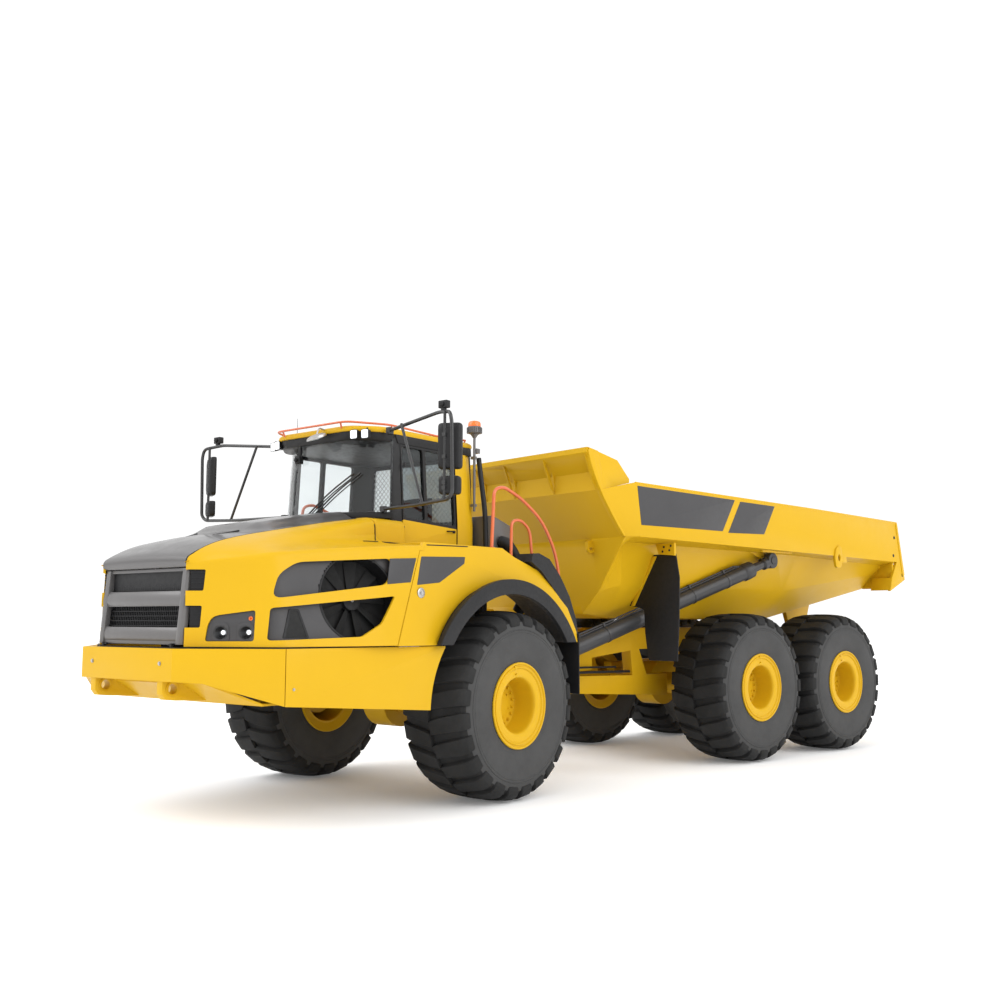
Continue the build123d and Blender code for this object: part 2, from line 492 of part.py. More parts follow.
cab_floor = prism_z(shrink(CAB_PLAN, 0), SILL, SILL + 60)
cab_floor += box(-380, 380, -1900, -960, 1640, SILL + 5)
add("cab_floor", cab_floor, TRACTOR)
cab = prism_z(CAB_PLAN, SILL + 60, HEAD_Z) - prism_z(shrink(CAB_PLAN, 60), SILL, HEAD_Z + 50)
# windscreen, side windows, rear window, and the doorway on the left
cab -= box(-690, 690, -2600, -2090, 2735, 3400)
cab -= box(-900, -600, -1985, -1620, 2700, 3395)
cab -= box(-900, -600, -1560, -1130, 2650, 3395)
cab -= box(-620, 620, -1000, -800, 2700, 3360)
DOOR = (-1990.0, -1180.0, 2395.0, 3400.0)       # y0, y1, z0, z1
cab -= box(700, 900, DOOR[0], DOOR[1], DOOR[2], DOOR[3])
DOOR_HINGE, HINGES = (814.0, -1990.0), (2560.0, 3180.0)     # x, y and the two heights
for z in HINGES:     # lugs and pins of the door's hinges
    cab += box(798, 822, -2000, -1984, z - 45, z - 28) + box(798, 822, -2000, -1984, z + 28, z + 45)
    cab += cyl((*DOOR_HINGE, z), (0, 0, 1), 6, 60)
add("cab_shell", cab, TRACTOR)
roof_plan = [(780, -820), (780, -2230), (520, -2450), (-520, -2450), (-780, -2230), (-780, -820)]
roof = loft([[(x, y, HEAD_Z) for x, y in roof_plan], [(x * 0.97, y, HEAD_Z + 75) for x, y in roof_plan], [(x * 0.88, y * 0.985, ROOF_Z) for x, y in roof_plan]])
add("cab_roof", roof, TRACTOR)
d = DOOR
door = box(742, 798, d[0] + 8, d[1] - 8, d[2] + 8, d[3] - 8)
door -= box(700, 900, d[0] + 75, -1640, 2720, d[3] - 70)
door -= box(700, 900, -1580, d[1] - 60, 2650, d[3] - 70)
for z in HINGES:
    knuckle = cyl((*DOOR_HINGE, z), (0, 0, 1), 12, 48) + box(790, 812, -1984, -1972, z - 22, z + 22)
    door += knuckle - cyl((*DOOR_HINGE, z), (0, 0, 1), 6.05, 80)
add("cab_door", door, TRACTOR)
add("door_glass", [box(766, 774, d[0] + 75, -1640, 2720, d[3] - 70), box(766, 774, -1580, d[1] - 60, 2650, d[3] - 70)], TRACTOR)
g = [(690, -2120), (405, -2372), (-405, -2372), (-690, -2120), (-684, -2112), (-402, -2363), (402, -2363), (684, -2112)]
screen = prism_z(g, 2736, 3399)
panes = [screen, box(-774, -766, -1985, -1620, 2700, 3395), box(-774, -766, -1560, -1130, 2650, 3395), box(-620, 620, -894, -886, 2700, 3360)]
add("cab_windows", panes, TRACTOR)
seat = box(-260, 260, -1500, -1010, 2290, 2420) + prism_x([(-1070, 2420), (-960, 2430), (-905, 3060), (-985, 3060)], -250, 250) + box(-190, 190, -1420, -1080, SILL + 60, 2295)
add("driver_seat", seat, TRACTOR)
console = prism_x([(-2320, SILL + 60), (-2330, 2560), (-2180, 2660), (-2020, 2600), (-2060, SILL + 60)], -340, 340)
console += rod((0, -2060, 2500), (0, -1830, 2660), 30) + Pos(0, -1815, 2672) * Rot(35, 0, 0) * Torus(205, 16)
console += Pos(0, -1815, 2672) * Rot(35, 0, 0) * Box(400, 30, 14)
add("steering_console", console, TRACTOR)

# air cleaner and hoses box behind the cab, cowl between hood and cab
add("air_cleaner_box", box(380, 980, -740, -330, 2050, 2760) + box(-980, -380, -740, -330, 2050, 2620), TRACTOR)
add("rear_deck", box(-870, 870, -855, -780, 1500, 2340) + box(-1000, 1000, -785, -320, 2000, 2045), TRACTOR)

# mirrors: tube frame, brace, two heads
mirror_half = tube([(802, -2190, 3490), (1565, -2330, 3560), (1780, -2425, 3520), (1800, -2425, 3440), (1800, -2410, 2800), (1740, -2400, 2745), (1300, -2330, 2730), (722, -2170, 2740)], 17)
mirror_half += rod((1700, -2405, 3530), (1700, -2405, 2745), 14)
mirror_half += rod((1050, -2285, 3520), (1380, -2345, 2735), 14)
mirror_half += box(1610, 1830, -2385, -2325, 3020, 3440) + box(1620, 1820, -2385, -2325, 2790, 2960)
mirror_half += box(1640, 1660, -2400, -2380, 3000, 3440)
add("mirrors", [mirror_half, flip(mirror_half)], TRACTOR)

rail = tube([(1400, -1363, 2382), (1400, -1325, 2954), (1400, -1180, 2990), (1400, -901, 2909), (1400, -536, 2705), (1400, -300, 2439), (1400, -200, 1900)], 17)
rail2 = tube([(1400, -1056, 2300), (1400, -1046, 2628), (1400, -930, 2655), (1400, -790, 2570), (1400, -690, 2190)], 15)
rails = [rail, rail2, flip(rail), flip(rail2)]
add("handrails", rails, TRACTOR)
beacon = cyl((825, -943, 3216), (0, 0, 1), 14, 820) + cyl((825, -943, 3690), (0, 0, 1), 58, 130)
for z in (2860, 3360):
    beacon += box(801.5, 825, -953, -933, z, z + 24)
add("beacon", beacon, TRACTOR)
lamp = wall((745, -4226), (1112, -3990), 1506, 1506, 1755, -24)
add("headlights", [lamp, flip(lamp)], TRACTOR)

for name, shape in NODES.items():
    shape.label = name
    export_step(shape, "parts/" + name + ".step")
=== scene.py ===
import math
import bpy
import bmesh
from mathutils import Vector, Matrix
from mathutils.geometry import tessellate_polygon


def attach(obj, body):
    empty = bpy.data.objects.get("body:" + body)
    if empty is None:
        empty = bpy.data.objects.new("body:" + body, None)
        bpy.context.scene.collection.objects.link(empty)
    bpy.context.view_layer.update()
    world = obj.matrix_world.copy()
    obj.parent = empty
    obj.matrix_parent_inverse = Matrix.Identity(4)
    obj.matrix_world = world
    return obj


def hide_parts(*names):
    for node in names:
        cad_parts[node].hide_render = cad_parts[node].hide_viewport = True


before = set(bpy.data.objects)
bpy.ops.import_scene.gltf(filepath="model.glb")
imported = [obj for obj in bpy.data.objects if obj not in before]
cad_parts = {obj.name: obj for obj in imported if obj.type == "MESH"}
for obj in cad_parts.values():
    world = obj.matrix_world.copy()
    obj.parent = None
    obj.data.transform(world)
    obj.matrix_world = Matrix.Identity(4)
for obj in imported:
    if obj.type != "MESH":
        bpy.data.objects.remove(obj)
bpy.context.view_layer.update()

# ---------------------------------------------------------------- places (millimetres, as in the construction)
SX, SY, SZ = -243.19, -1193.54, 25.0
STEER = math.radians(9.3)
HUB_Z, TRACK = 875.0, 2636.0
AXLES = {"front": -1277.0, "middle": 3241.0, "rear": 5181.0}
LOAD_M = Matrix.Diagonal((0.001, 0.001, 0.001, 1.0)) @ Matrix.Translation((SX, SY, SZ))
TRACTOR_M = LOAD_M @ Matrix.Rotation(STEER, 4, "Z")
HALF = {"tractor": TRACTOR_M, "door_body": TRACTOR_M, "hood_body": TRACTOR_M, "load_chassis": LOAD_M, "dump_body": LOAD_M}


# ---------------------------------------------------------------- materials
def principled(name, colour, rough, metal=0.0, coat=0.0, coat_rough=0.1, spec=0.5):
    m = bpy.data.materials.new(name)
    m.use_nodes = True
    b = m.node_tree.nodes["Principled BSDF"]
    b.inputs["Base Color"].default_value = (*colour, 1)
    b.inputs["Roughness"].default_value = rough
    b.inputs["Metallic"].default_value = metal
    b.inputs["Coat Weight"].default_value = coat
    b.inputs["Coat Roughness"].default_value = coat_rough
    b.inputs["Specular IOR Level"].default_value = spec
    return m, m.node_tree, b


def noise(nt, scale, detail=4.0, rough=0.5):
    tc = nt.nodes.new("ShaderNodeTexCoord")
    n = nt.nodes.new("ShaderNodeTexNoise")
    n.inputs["Scale"].default_value = scale
    n.inputs["Detail"].default_value = detail
    n.inputs["Roughness"].default_value = rough
    nt.links.new(tc.outputs["Object"], n.inputs["Vector"])
    return n


def ramp(nt, src, a, b, lo=0.3, hi=0.7):
    r = nt.nodes.new("ShaderNodeValToRGB")
    r.color_ramp.elements[0].position = lo
    r.color_ramp.elements[1].position = hi
    r.color_ramp.elements[0].color = a if len(a) == 4 else (*a, 1)
    r.color_ramp.elements[1].color = b if len(b) == 4 else (*b, 1)
    nt.links.new(src, r.inputs["Fac"])
    return r


def bump(nt, b, src, strength, distance):
    n = nt.nodes.new("ShaderNodeBump")
    n.inputs["Strength"].default_value = strength
    n.inputs["Distance"].default_value = distance
    nt.links.new(src, n.inputs["Height"])
    nt.links.new(n.outputs["Normal"], b.inputs["Normal"])
    return n


def finish_material(name, colour, rough, var=0.06, scale=1.2, metal=0.0, coat=0.0, grain=0.0, grain_scale=400.0, rough_var=0.06, spec=0.5):
    """A surface whose colour, roughness and grain vary a little over it."""
    m, nt, b = principled(name, colour, rough, metal, coat, spec=spec)
    n = noise(nt, scale, 6.0, 0.6)
    dark = tuple(c * (1 - var) for c in colour)
    light = tuple(min(1.0, c * (1 + var * 0.6)) for c in colour)
    nt.links.new(ramp(nt, n.outputs["Fac"], dark, light).outputs["Color"], b.inputs["Base Color"])
    n2 = noise(nt, scale * 9, 5.0, 0.65)
    r0, r1 = max(0.0, rough - rough_var), min(1.0, rough + rough_var)
    nt.links.new(ramp(nt, n2.outputs["Fac"], (r0,) * 3, (r1,) * 3).outputs["Color"], b.inputs["Roughness"])
    if grain:
        g = noise(nt, grain_scale, 2.0, 0.5)
        bump(nt, b, g.outputs["Fac"], grain, 0.001)
    return m


YELLOW = finish_material("yellow_paint", (0.570, 0.336, 0.007), 0.42, 0.035, 0.7, coat=0.04, grain=0.03, grain_scale=260, spec=0.16)
YELLOW_DEEP = finish_material("yellow_frame_paint", (0.545, 0.312, 0.006), 0.48, 0.06, 1.5, coat=0.02, grain=0.08, grain_scale=160, spec=0.16)
GREY_HOOD = finish_material("grey_hood_paint", (0.090, 0.086, 0.086), 0.36, 0.06, 0.8, metal=0.35, coat=0.35, grain=0.04, grain_scale=300)
GREY_FRAME = finish_material("grey_trim_paint", (0.112, 0.108, 0.108), 0.40, 0.05, 1.5, metal=0.25, coat=0.2, grain=0.05, grain_scale=300)
PANEL = finish_material("dark_grey_panel", (0.052, 0.051, 0.053), 0.45, 0.06, 2.0, coat=0.02, spec=0.25, grain=0.06, grain_scale=500)
BLACK = finish_material("black_plastic", (0.011, 0.011, 0.012), 0.5, 0.15, 3.0, grain=0.15, grain_scale=900, rough_var=0.1, spec=0.28)
BLACK_SATIN = finish_material("black_enamel", (0.014, 0.014, 0.015), 0.33, 0.12, 2.0, coat=0.25, grain=0.06, grain_scale=300)
RUBBER = finish_material("black_rubber", (0.012, 0.012, 0.013), 0.6, 0.2, 2.5, grain=0.25, grain_scale=500, rough_var=0.1, spec=0.26)
STEEL_DARK = finish_material("dark_steel_paint", (0.034, 0.034, 0.036), 0.40, 0.12, 3.0, coat=0.05, grain=0.10, grain_scale=200, spec=0.35)
CHROME = finish_material("chrome_rod", (0.62, 0.62, 0.63), 0.12, 0.04, 3.0, metal=1.0, rough_var=0.04)
BARE = finish_material("bare_steel", (0.46, 0.45, 0.44), 0.36, 0.12, 12.0, metal=1.0, rough_var=0.1)
CAST = finish_material("cast_metal", (0.10, 0.10, 0.105), 0.6, 0.25, 5.0, metal=0.5, grain=0.5, grain_scale=150, rough_var=0.1)
ORANGE = finish_material("orange_paint", (0.56, 0.105, 0.022), 0.34, 0.05, 3.0, coat=0.4, grain=0.04)
SEAT = finish_material("seat_fabric", (0.030, 0.030, 0.033), 0.85, 0.25, 30.0, grain=0.7, grain_scale=1500, rough_var=0.05)
# near-black, rough stand-in for the shade deep inside openings: painted shade
SHADE_VOID = finish_material("dark_void", (0.006, 0.006, 0.006), 0.8, 0.1, 2.0)
AMBER, _nt, _b = principled("amber_lens", (0.85, 0.17, 0.02), 0.18, spec=0.6)
_b.inputs["Transmission Weight"].default_value = 0.35
_b.inputs["Emission Color"].default_value = (0.9, 0.20, 0.03, 1)
_b.inputs["Emission Strength"].default_value = 0.25
RED_LENS, _nt, _b = principled("red_lens", (0.55, 0.02, 0.015), 0.2, spec=0.6)
LENS, _nt, _b = principled("lamp_lens", (0.82, 0.85, 0.88), 0.06, spec=0.7)
_b.inputs["Emission Color"].default_value = (0.9, 0.95, 1.0, 1)
_b.inputs["Emission Strength"].default_value = 0.55
# rear pane: pale glass that also glows through its emission, painted brightness on a pane that is no lamp
GLOWING_PALE_PANE, _nt, _b = principled("pale_pane", (0.88, 0.91, 0.91), 0.12, spec=0.3)
_b.inputs["Transmission Weight"].default_value = 0.6
_b.inputs["Emission Color"].default_value = (0.92, 0.96, 0.97, 1)
_b.inputs["Emission Strength"].default_value = 0.22
_b.inputs["IOR"].default_value = 1.02
MIRROR, _nt, _b = principled("mirror_glass", (0.55, 0.57, 0.58), 0.04, metal=1.0)

GLASS, _nt, _b = principled("tinted_glass", (0.30, 0.34, 0.35), 0.03, spec=0.55)
_b.inputs["Transmission Weight"].default_value = 1.0
_b.inputs["IOR"].default_value = 1.02
_b.inputs["Coat Weight"].default_value = 0.8
_b.inputs["Coat Roughness"].default_value = 0.02
GLASS_CLEAR, _nt, _b = principled("clear_glass", (0.90, 0.93, 0.935), 0.02, spec=0.5)
_b.inputs["Transmission Weight"].default_value = 1.0
_b.inputs["IOR"].default_value = 1.02
_b.inputs["Coat Weight"].default_value = 0.7
_b.inputs["Coat Roughness"].default_value = 0.02

for m_, tone, r_lo, r_hi in ((AMBER, 0.10, 0.14, 0.24), (RED_LENS, 0.10, 0.15, 0.26), (LENS, 0.05, 0.04, 0.10), (GLOWING_PALE_PANE, 0.03, 0.09, 0.16),
                             (MIRROR, 0.04, 0.02, 0.07), (GLASS, 0.05, 0.02, 0.05), (GLASS_CLEAR, 0.02, 0.01, 0.035)):
    _nt = m_.node_tree
    _b = _nt.nodes["Principled BSDF"]
    c_ = tuple(_b.inputs["Base Color"].default_value)[:3]
    _nt.links.new(ramp(_nt, noise(_nt, 4.0, 4.0).outputs["Fac"], tuple(v * (1 - tone) for v in c_), tuple(min(1.0, v * (1 + tone / 2)) for v in c_)).outputs["Color"], _b.inputs["Base Color"])
    _nt.links.new(ramp(_nt, noise(_nt, 18.0, 5.0).outputs["Fac"], (r_lo,) * 3, (r_hi,) * 3).outputs["Color"], _b.inputs["Roughness"])


def tyre_material(name, colour, dusty, low, high):
    """Rubber with a dust veil that gathers in a noise pattern."""
    m, nt, b = principled(name, colour, 0.72, spec=0.16)
    n = noise(nt, 2.3, 8.0, 0.7)
    nt.links.new(ramp(nt, n.outputs["Fac"], colour, dusty, low, high).outputs["Color"], b.inputs["Base Color"])
    n2 = noise(nt, 60.0, 6.0, 0.7)
    bump(nt, b, n2.outputs["Fac"], 0.25, 0.003)
    return m


# tread rubber set far darker than the sidewall rubber: painted shade of the grooves between the lugs; the noise veil on
# it is dust
TREAD_DARKENED_AS_SHADE = tyre_material("tyre_tread", (0.012, 0.012, 0.012), (0.030, 0.030, 0.030), 0.25, 0.8)
SIDEWALL = tyre_material("tyre_sidewall", (0.047, 0.047, 0.047), (0.068, 0.068, 0.068), 0.3, 0.75)


# ---------------------------------------------------------------- mesh helpers
def new_bm():
    return bmesh.new()


def quad_strip(bm, rings, close_ring=True, cap=True, mat=0):
    """Skin between successive rings of points."""
    vs = [[bm.verts.new(p) for p in r] for r in rings]
    n = len(rings[0])
    for a, b in zip(vs, vs[1:]):
        for i in range(n if close_ring else n - 1):
            j = (i + 1) % n
            bm.faces.new((a[i], a[j], b[j], b[i])).material_index = mat
    if cap and close_ring:
        bm.faces.new(list(reversed(vs[0]))).material_index = mat
        bm.faces.new(vs[-1]).material_index = mat
    return vs


def add_box(bm, x0, x1, y0, y1, z0, z1, mat=0):
    quad_strip(bm, [[(x0, y0, z0), (x1, y0, z0), (x1, y1, z0), (x0, y1, z0)], [(x0, y0, z1), (x1, y0, z1), (x1, y1, z1), (x0, y1, z1)]], mat=mat)


def add_prism(bm, pts, vec, mat=0):
    """Polygon of 3-D points swept along vec."""
    v = Vector(vec)
    quad_strip(bm, [[Vector(p) for p in pts], [Vector(p) + v for p in pts]], mat=mat)


def prism_x(bm, pts, x0, x1, mat=0):
    add_prism(bm, [(x0, y, z) for y, z in pts], (x1 - x0, 0, 0), mat)


def frame_of(d):
    d = Vector(d).normalized()
    u = d.cross(Vector((0, 0, 1)) if abs(d.z) < 0.95 else Vector((1, 0, 0))).normalized()
    return d, u, u.cross(d)


def add_cyl(bm, p, q, r, n=24, r2=None, mat=0, cap=True):
    p, q = Vector(p), Vector(q)
    d, u, w = frame_of(q - p)
    r2 = r if r2 is None else r2
    quad_strip(bm, [[c + u * (rr * math.cos(2 * math.pi * k / n)) + w * (rr * math.sin(2 * math.pi * k / n)) for k in range(n)] for c, rr in ((p, r), (q, r2))], cap=cap, mat=mat)


def add_turned(bm, centre, axis, profile, n=48, mat=0, closed=False):
    """Revolve (along, radius) points about an axis; the ends with radius 0 close to a point."""
    c = Vector(centre)
    d, u, w = frame_of(axis)
    rings = []
    for a, r in profile:
        if r < 1e-6:
            rings.append([bm.verts.new(c + d * a)])
        else:
            rings.append([bm.verts.new(c + d * a + u * (r * math.cos(2 * math.pi * k / n)) + w * (r * math.sin(2 * math.pi * k / n))) for k in range(n)])
    pairs = list(zip(rings, rings[1:])) + ([(rings[-1], rings[0])] if closed else [])
    for A, B in pairs:
        for k in range(n):
            j = (k + 1) % n
            if len(A) == 1 and len(B) == 1:
                continue
            if len(A) == 1:
                f = (A[0], B[j], B[k])
            elif len(B) == 1:
                f = (A[k], A[j], B[0])
            else:
                f = (A[k], A[j], B[j], B[k])
            bm.faces.new(f).material_index = mat


def smooth_path(points, radius=80.0, steps=5):
    """Round the corners of a polyline with arcs."""
    P = [Vector(p) for p in points]
    out = [P[0]]
    for a, b, c in zip(P, P[1:], P[2:]):
        r = min(radius, (a - b).length * 0.45, (c - b).length * 0.45)
        s, e = b + (a - b).normalized() * r, b + (c - b).normalized() * r
        for k in range(steps + 1):
            t = k / steps
            out.append(s * (1 - t) ** 2 + b * (2 * t * (1 - t)) + e * t ** 2)
    out.append(P[-1])
    return out


def add_tube(bm, points, r, corner=80.0, n=12, mat=0):
    path = smooth_path(points, corner)
    rings = []
    u = None
    for i, p in enumerate(path):
        t = (path[min(i + 1, len(path) - 1)] - path[max(i - 1, 0)]).normalized()
        if u is None:
            u = frame_of(t)[1]
        u = (u - t * u.dot(t)).normalized()
        w = t.cross(u)
        rings.append([p + u * (r * math.cos(2 * math.pi * k / n)) + w * (r * math.sin(2 * math.pi * k / n)) for k in range(n)])
    quad_strip(bm, rings, mat=mat)


def add_bolt(bm, p, axis, r=16.0, h=14.0, mat=0):
    """Hexagon head on a washer."""
    p = Vector(p)
    d, u, w = frame_of(axis)
    add_cyl(bm, p, p + d * h * 0.3, r * 1.35, 16, mat=mat)
    rings = []
    for hh, rr in ((h * 0.3, r), (h * 0.85, r), (h, r * 0.86)):
        rings.append([p + d * hh + u * (rr * math.cos(math.pi * k / 3)) + w * (rr * math.sin(math.pi * k / 3)) for k in range(6)])
    quad_strip(bm, rings, mat=mat)


def add_plate(bm, outline, holes, plane, t, mat=0):
    """Flat plate with holes. plane maps (a, b, depth) to a point; depth 0 is the outside face, t the inside."""
    loops = [outline] + holes
    flat = [[Vector((a, b, 0)) for a, b in loop] for loop in loops]
    tris = tessellate_polygon(flat)
    pts = [p for loop in loops for p in loop]
    front = [bm.verts.new(plane(a, b, 0.0)) for a, b in pts]
    back = [bm.verts.new(plane(a, b, t)) for a, b in pts]
    for i, j, k in tris:
        bm.faces.new((front[i], front[j], front[k])).material_index = mat
        bm.faces.new((back[k], back[j], back[i])).material_index = mat
    start = 0
    for loop in loops:
        n = len(loop)
        for i in range(n):
            a, b = start + i, start + (i + 1) % n
            bm.faces.new((front[a], front[b], back[b], back[a])).material_index = mat
        start += n


def round_poly(pts, r, steps=4):
    """Polygon with rounded corners, (a, b) points."""
    out = []
    n = len(pts)
    for i in range(n):
        a, b, c = Vector((*pts[i - 1], 0)), Vector((*pts[i], 0)), Vector((*pts[(i + 1) % n], 0))
        rr = min(r, (a - b).length * 0.45, (c - b).length * 0.45)
        s, e = b + (a - b).normalized() * rr, b + (c - b).normalized() * rr
        for k in range(steps + 1):
            t = k / steps
            p = s * (1 - t) ** 2 + b * (2 * t * (1 - t)) + e * t ** 2
            out.append((p.x, p.y))
    return out


def mirror_x(bm):
    """Add the mirror image in the truck's middle plane."""
    geom = bm.verts[:] + bm.edges[:] + bm.faces[:]
    d = bmesh.ops.duplicate(bm, geom=geom)["geom"]
    vs = [v for v in d if isinstance(v, bmesh.types.BMVert)]
    for v in vs:
        v.co.x = -v.co.x
    bmesh.ops.reverse_faces(bm, faces=[f for f in d if isinstance(f, bmesh.types.BMFace)])


def emit(name, bm, body, mats, replaces=(), matrix=None, bevel=0.0, segments=2, smooth=math.radians(35), recalc=True, subsurf=0, weld=0.0):
    if weld:
        bmesh.ops.remove_doubles(bm, verts=bm.verts, dist=weld)
    if recalc:
        bmesh.ops.recalc_face_normals(bm, faces=bm.faces)
    bmesh.ops.transform(bm, matrix=matrix if matrix is not None else HALF[body], verts=bm.verts)
    me = bpy.data.meshes.new(name)
    bm.to_mesh(me)
    bm.free()
    o = bpy.data.objects.new(name, me)
    bpy.context.scene.collection.objects.link(o)
    for m in mats if isinstance(mats, (list, tuple)) else [mats]:
        me.materials.append(m)
    finish_mesh(o, bevel, segments, smooth, subsurf)
    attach(o, body)
    if replaces:
        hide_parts(*replaces)
    return o


def finish_mesh(o, bevel=0.0, segments=2, smooth=math.radians(35), subsurf=0):
    if subsurf:
        s = o.modifiers.new("subsurf", "SUBSURF")
        s.levels = s.render_levels = subsurf
    if bevel:
        b = o.modifiers.new("bevel", "BEVEL")
        b.width = bevel / 1000
        b.segments = segments
        b.limit_method = "ANGLE"
        b.angle_limit = math.radians(28)
        b.use_clamp_overlap = True
        b.harden_normals = False
    apply_modifiers(o)
    o.data.shade_smooth()
    sharp_by_angle(o.data, smooth)


def apply_modifiers(o):
    if not o.modifiers:
        return
    dg = bpy.context.evaluated_depsgraph_get()
    me = bpy.data.meshes.new_from_object(o.evaluated_get(dg), depsgraph=dg)
    old = o.data
    o.modifiers.clear()
    o.data = me
    bpy.data.meshes.remove(old)


def sharp_by_angle(me, angle):
    bm = bmesh.new()
    bm.from_mesh(me)
    for e in bm.edges:
        if len(e.link_faces) == 2:
            e.smooth = e.calc_face_angle(0.0) < angle
    bm.to_mesh(me)
    bm.free()


def soften(node, mats, body, width=5.0, segments=2, name=None, pick=None):
    """The node's own shape with its long edges rounded, as a rolled or cast edge is."""
    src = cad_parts[node]
    bm = bmesh.new()
    bm.from_mesh(src.data)
    bmesh.ops.remove_doubles(bm, verts=bm.verts, dist=0.00002)
    bmesh.ops.dissolve_limit(bm, angle_limit=math.radians(0.6), use_dissolve_boundaries=False, verts=bm.verts, edges=bm.edges)
    me = bpy.data.meshes.new(name or node + "_skin")
    bm.to_mesh(me)
    bm.free()
    o = bpy.data.objects.new(name or node + "_skin", me)
    bpy.context.scene.collection.objects.link(o)
    mats = mats if isinstance(mats, (list, tuple)) else [mats]
    for m in mats:
        me.materials.append(m)
    if pick:
        for f in me.polygons:
            f.material_index = pick(f.center, f.normal)
    finish_mesh(o, width, segments, math.radians(30))
    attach(o, body)
    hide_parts(node)
    return o


def cut(o, cutters):
    """Boolean difference with a list of temporary bmesh solids already in the row frame."""
    for bm in cutters:
        bmesh.ops.recalc_face_normals(bm, faces=bm.faces)
        me = bpy.data.meshes.new("cutter")
        bm.to_mesh(me)
        bm.free()
        c = bpy.data.objects.new("cutter", me)
        bpy.context.scene.collection.objects.link(c)
        m = o.modifiers.new("cut", "BOOLEAN")
        m.operation = "DIFFERENCE"
        m.solver = "EXACT"
        m.object = c
        apply_modifiers(o)
        bpy.data.objects.remove(c)
        bpy.data.meshes.remove(me)


# ---------------------------------------------------------------- wheels
TYRE_SHAPE = [(352, 412), (360, 428), (374, 480), (385, 560), (387, 630), (384, 700), (376, 748), (362, 790), (330, 826), (250, 846), (120, 856), (0, 858)]
LUG_TOP = [(6, 899), (70, 899), (150, 896), (230, 890), (300, 878), (340, 862), (372, 832), (384, 792), (387, 762)]
LUG_BASE = [(6, 852), (70, 852), (150, 850), (230, 844), (300, 828), (335, 806), (354, 780), (366, 764), (372, 752)]
LUGS = 24


def tyre_mesh():
    bm = new_bm()
    prof = TYRE_SHAPE + [(-o, r) for o, r in reversed(TYRE_SHAPE[:-1])]
    inner = [(-352, 405), (-300, 405), (-300, 700), (300, 700), (300, 405), (352, 405)]
    add_turned(bm, (0, 0, 0), (1, 0, 0), prof + inner, 96, mat=1, closed=True)
    # fine moulded rings on the sidewalls
    for s in (1, -1):
        for r in (455, 470, 690, 715):
            o = 366 if r < 500 else 384.5
            add_turned(bm, (s * o, 0, 0), (s, 0, 0), [(-6, r - 5), (2.6, r - 2.5), (2.6, r + 2.5), (-6, r + 5)], 96, mat=1, closed=True)
    # faces out on the tread take the darker rubber, the painted groove shade
    for f in bm.faces:
        r = math.hypot(f.calc_center_median().y, f.calc_center_median().z)
        if r > 775:
            f.material_index = 0
    # staggered lugs, each swept from the middle out over the shoulder
    for side in (1, -1):
        for k in range(LUGS):
            base = 2 * math.pi * (k + (0.5 if side < 0 else 0.0)) / LUGS
            rings = []
            n = len(LUG_TOP)
            for i, ((ot, rt), (ob, rb)) in enumerate(zip(LUG_TOP, LUG_BASE)):
                t = i / (n - 1)
                lean = base + 0.075 * math.sin(min(1.0, t * 1.35) * math.pi / 2)
                half = (0.074 + 0.014 * min(1.0, t * 1.6)) if i else 0.070
                half -= 0.008 * max(0.0, t - 0.75) / 0.25
                hb = half + 0.012
                ring = []
                for a, o, r in ((lean - half, ot, rt), (lean + half, ot, rt), (lean + hb, ob, rb), (lean - hb, ob, rb)):
                    ring.append((side * o, r * math.sin(a), r * math.cos(a)))
                rings.append(ring)
            quad_strip(bm, rings, mat=0)
    bmesh.ops.recalc_face_normals(bm, faces=bm.faces)
    me = bpy.data.meshes.new("tyre_visual")
    bmesh.ops.transform(bm, matrix=Matrix.Diagonal((0.001, 0.001, 0.001, 1)), verts=bm.verts)
    bm.to_mesh(me)
    bm.free()
    me.materials.append(TREAD_DARKENED_AS_SHADE)
    me.materials.append(SIDEWALL)
    tmp = bpy.data.objects.new("tyre_tmp", me)
    bpy.context.scene.collection.objects.link(tmp)
    finish_mesh(tmp, 7.0, 1, math.radians(40))
    me = tmp.data
    bpy.data.objects.remove(tmp)
    return me


RIM_FACE = [(-366, 404), (-366, 300), (330, 300), (352, 316), (352, 404), (362, 409), (371, 405), (374, 397), (371, 389), (360, 384), (358, 372), (366, 368), (368, 358), (362, 350), (354, 346), (355, 300),
            (352, 276), (345, 266), (332, 259), (310, 255), (288, 252), (130, 240), (116, 232), (112, 222), (112, 0)]


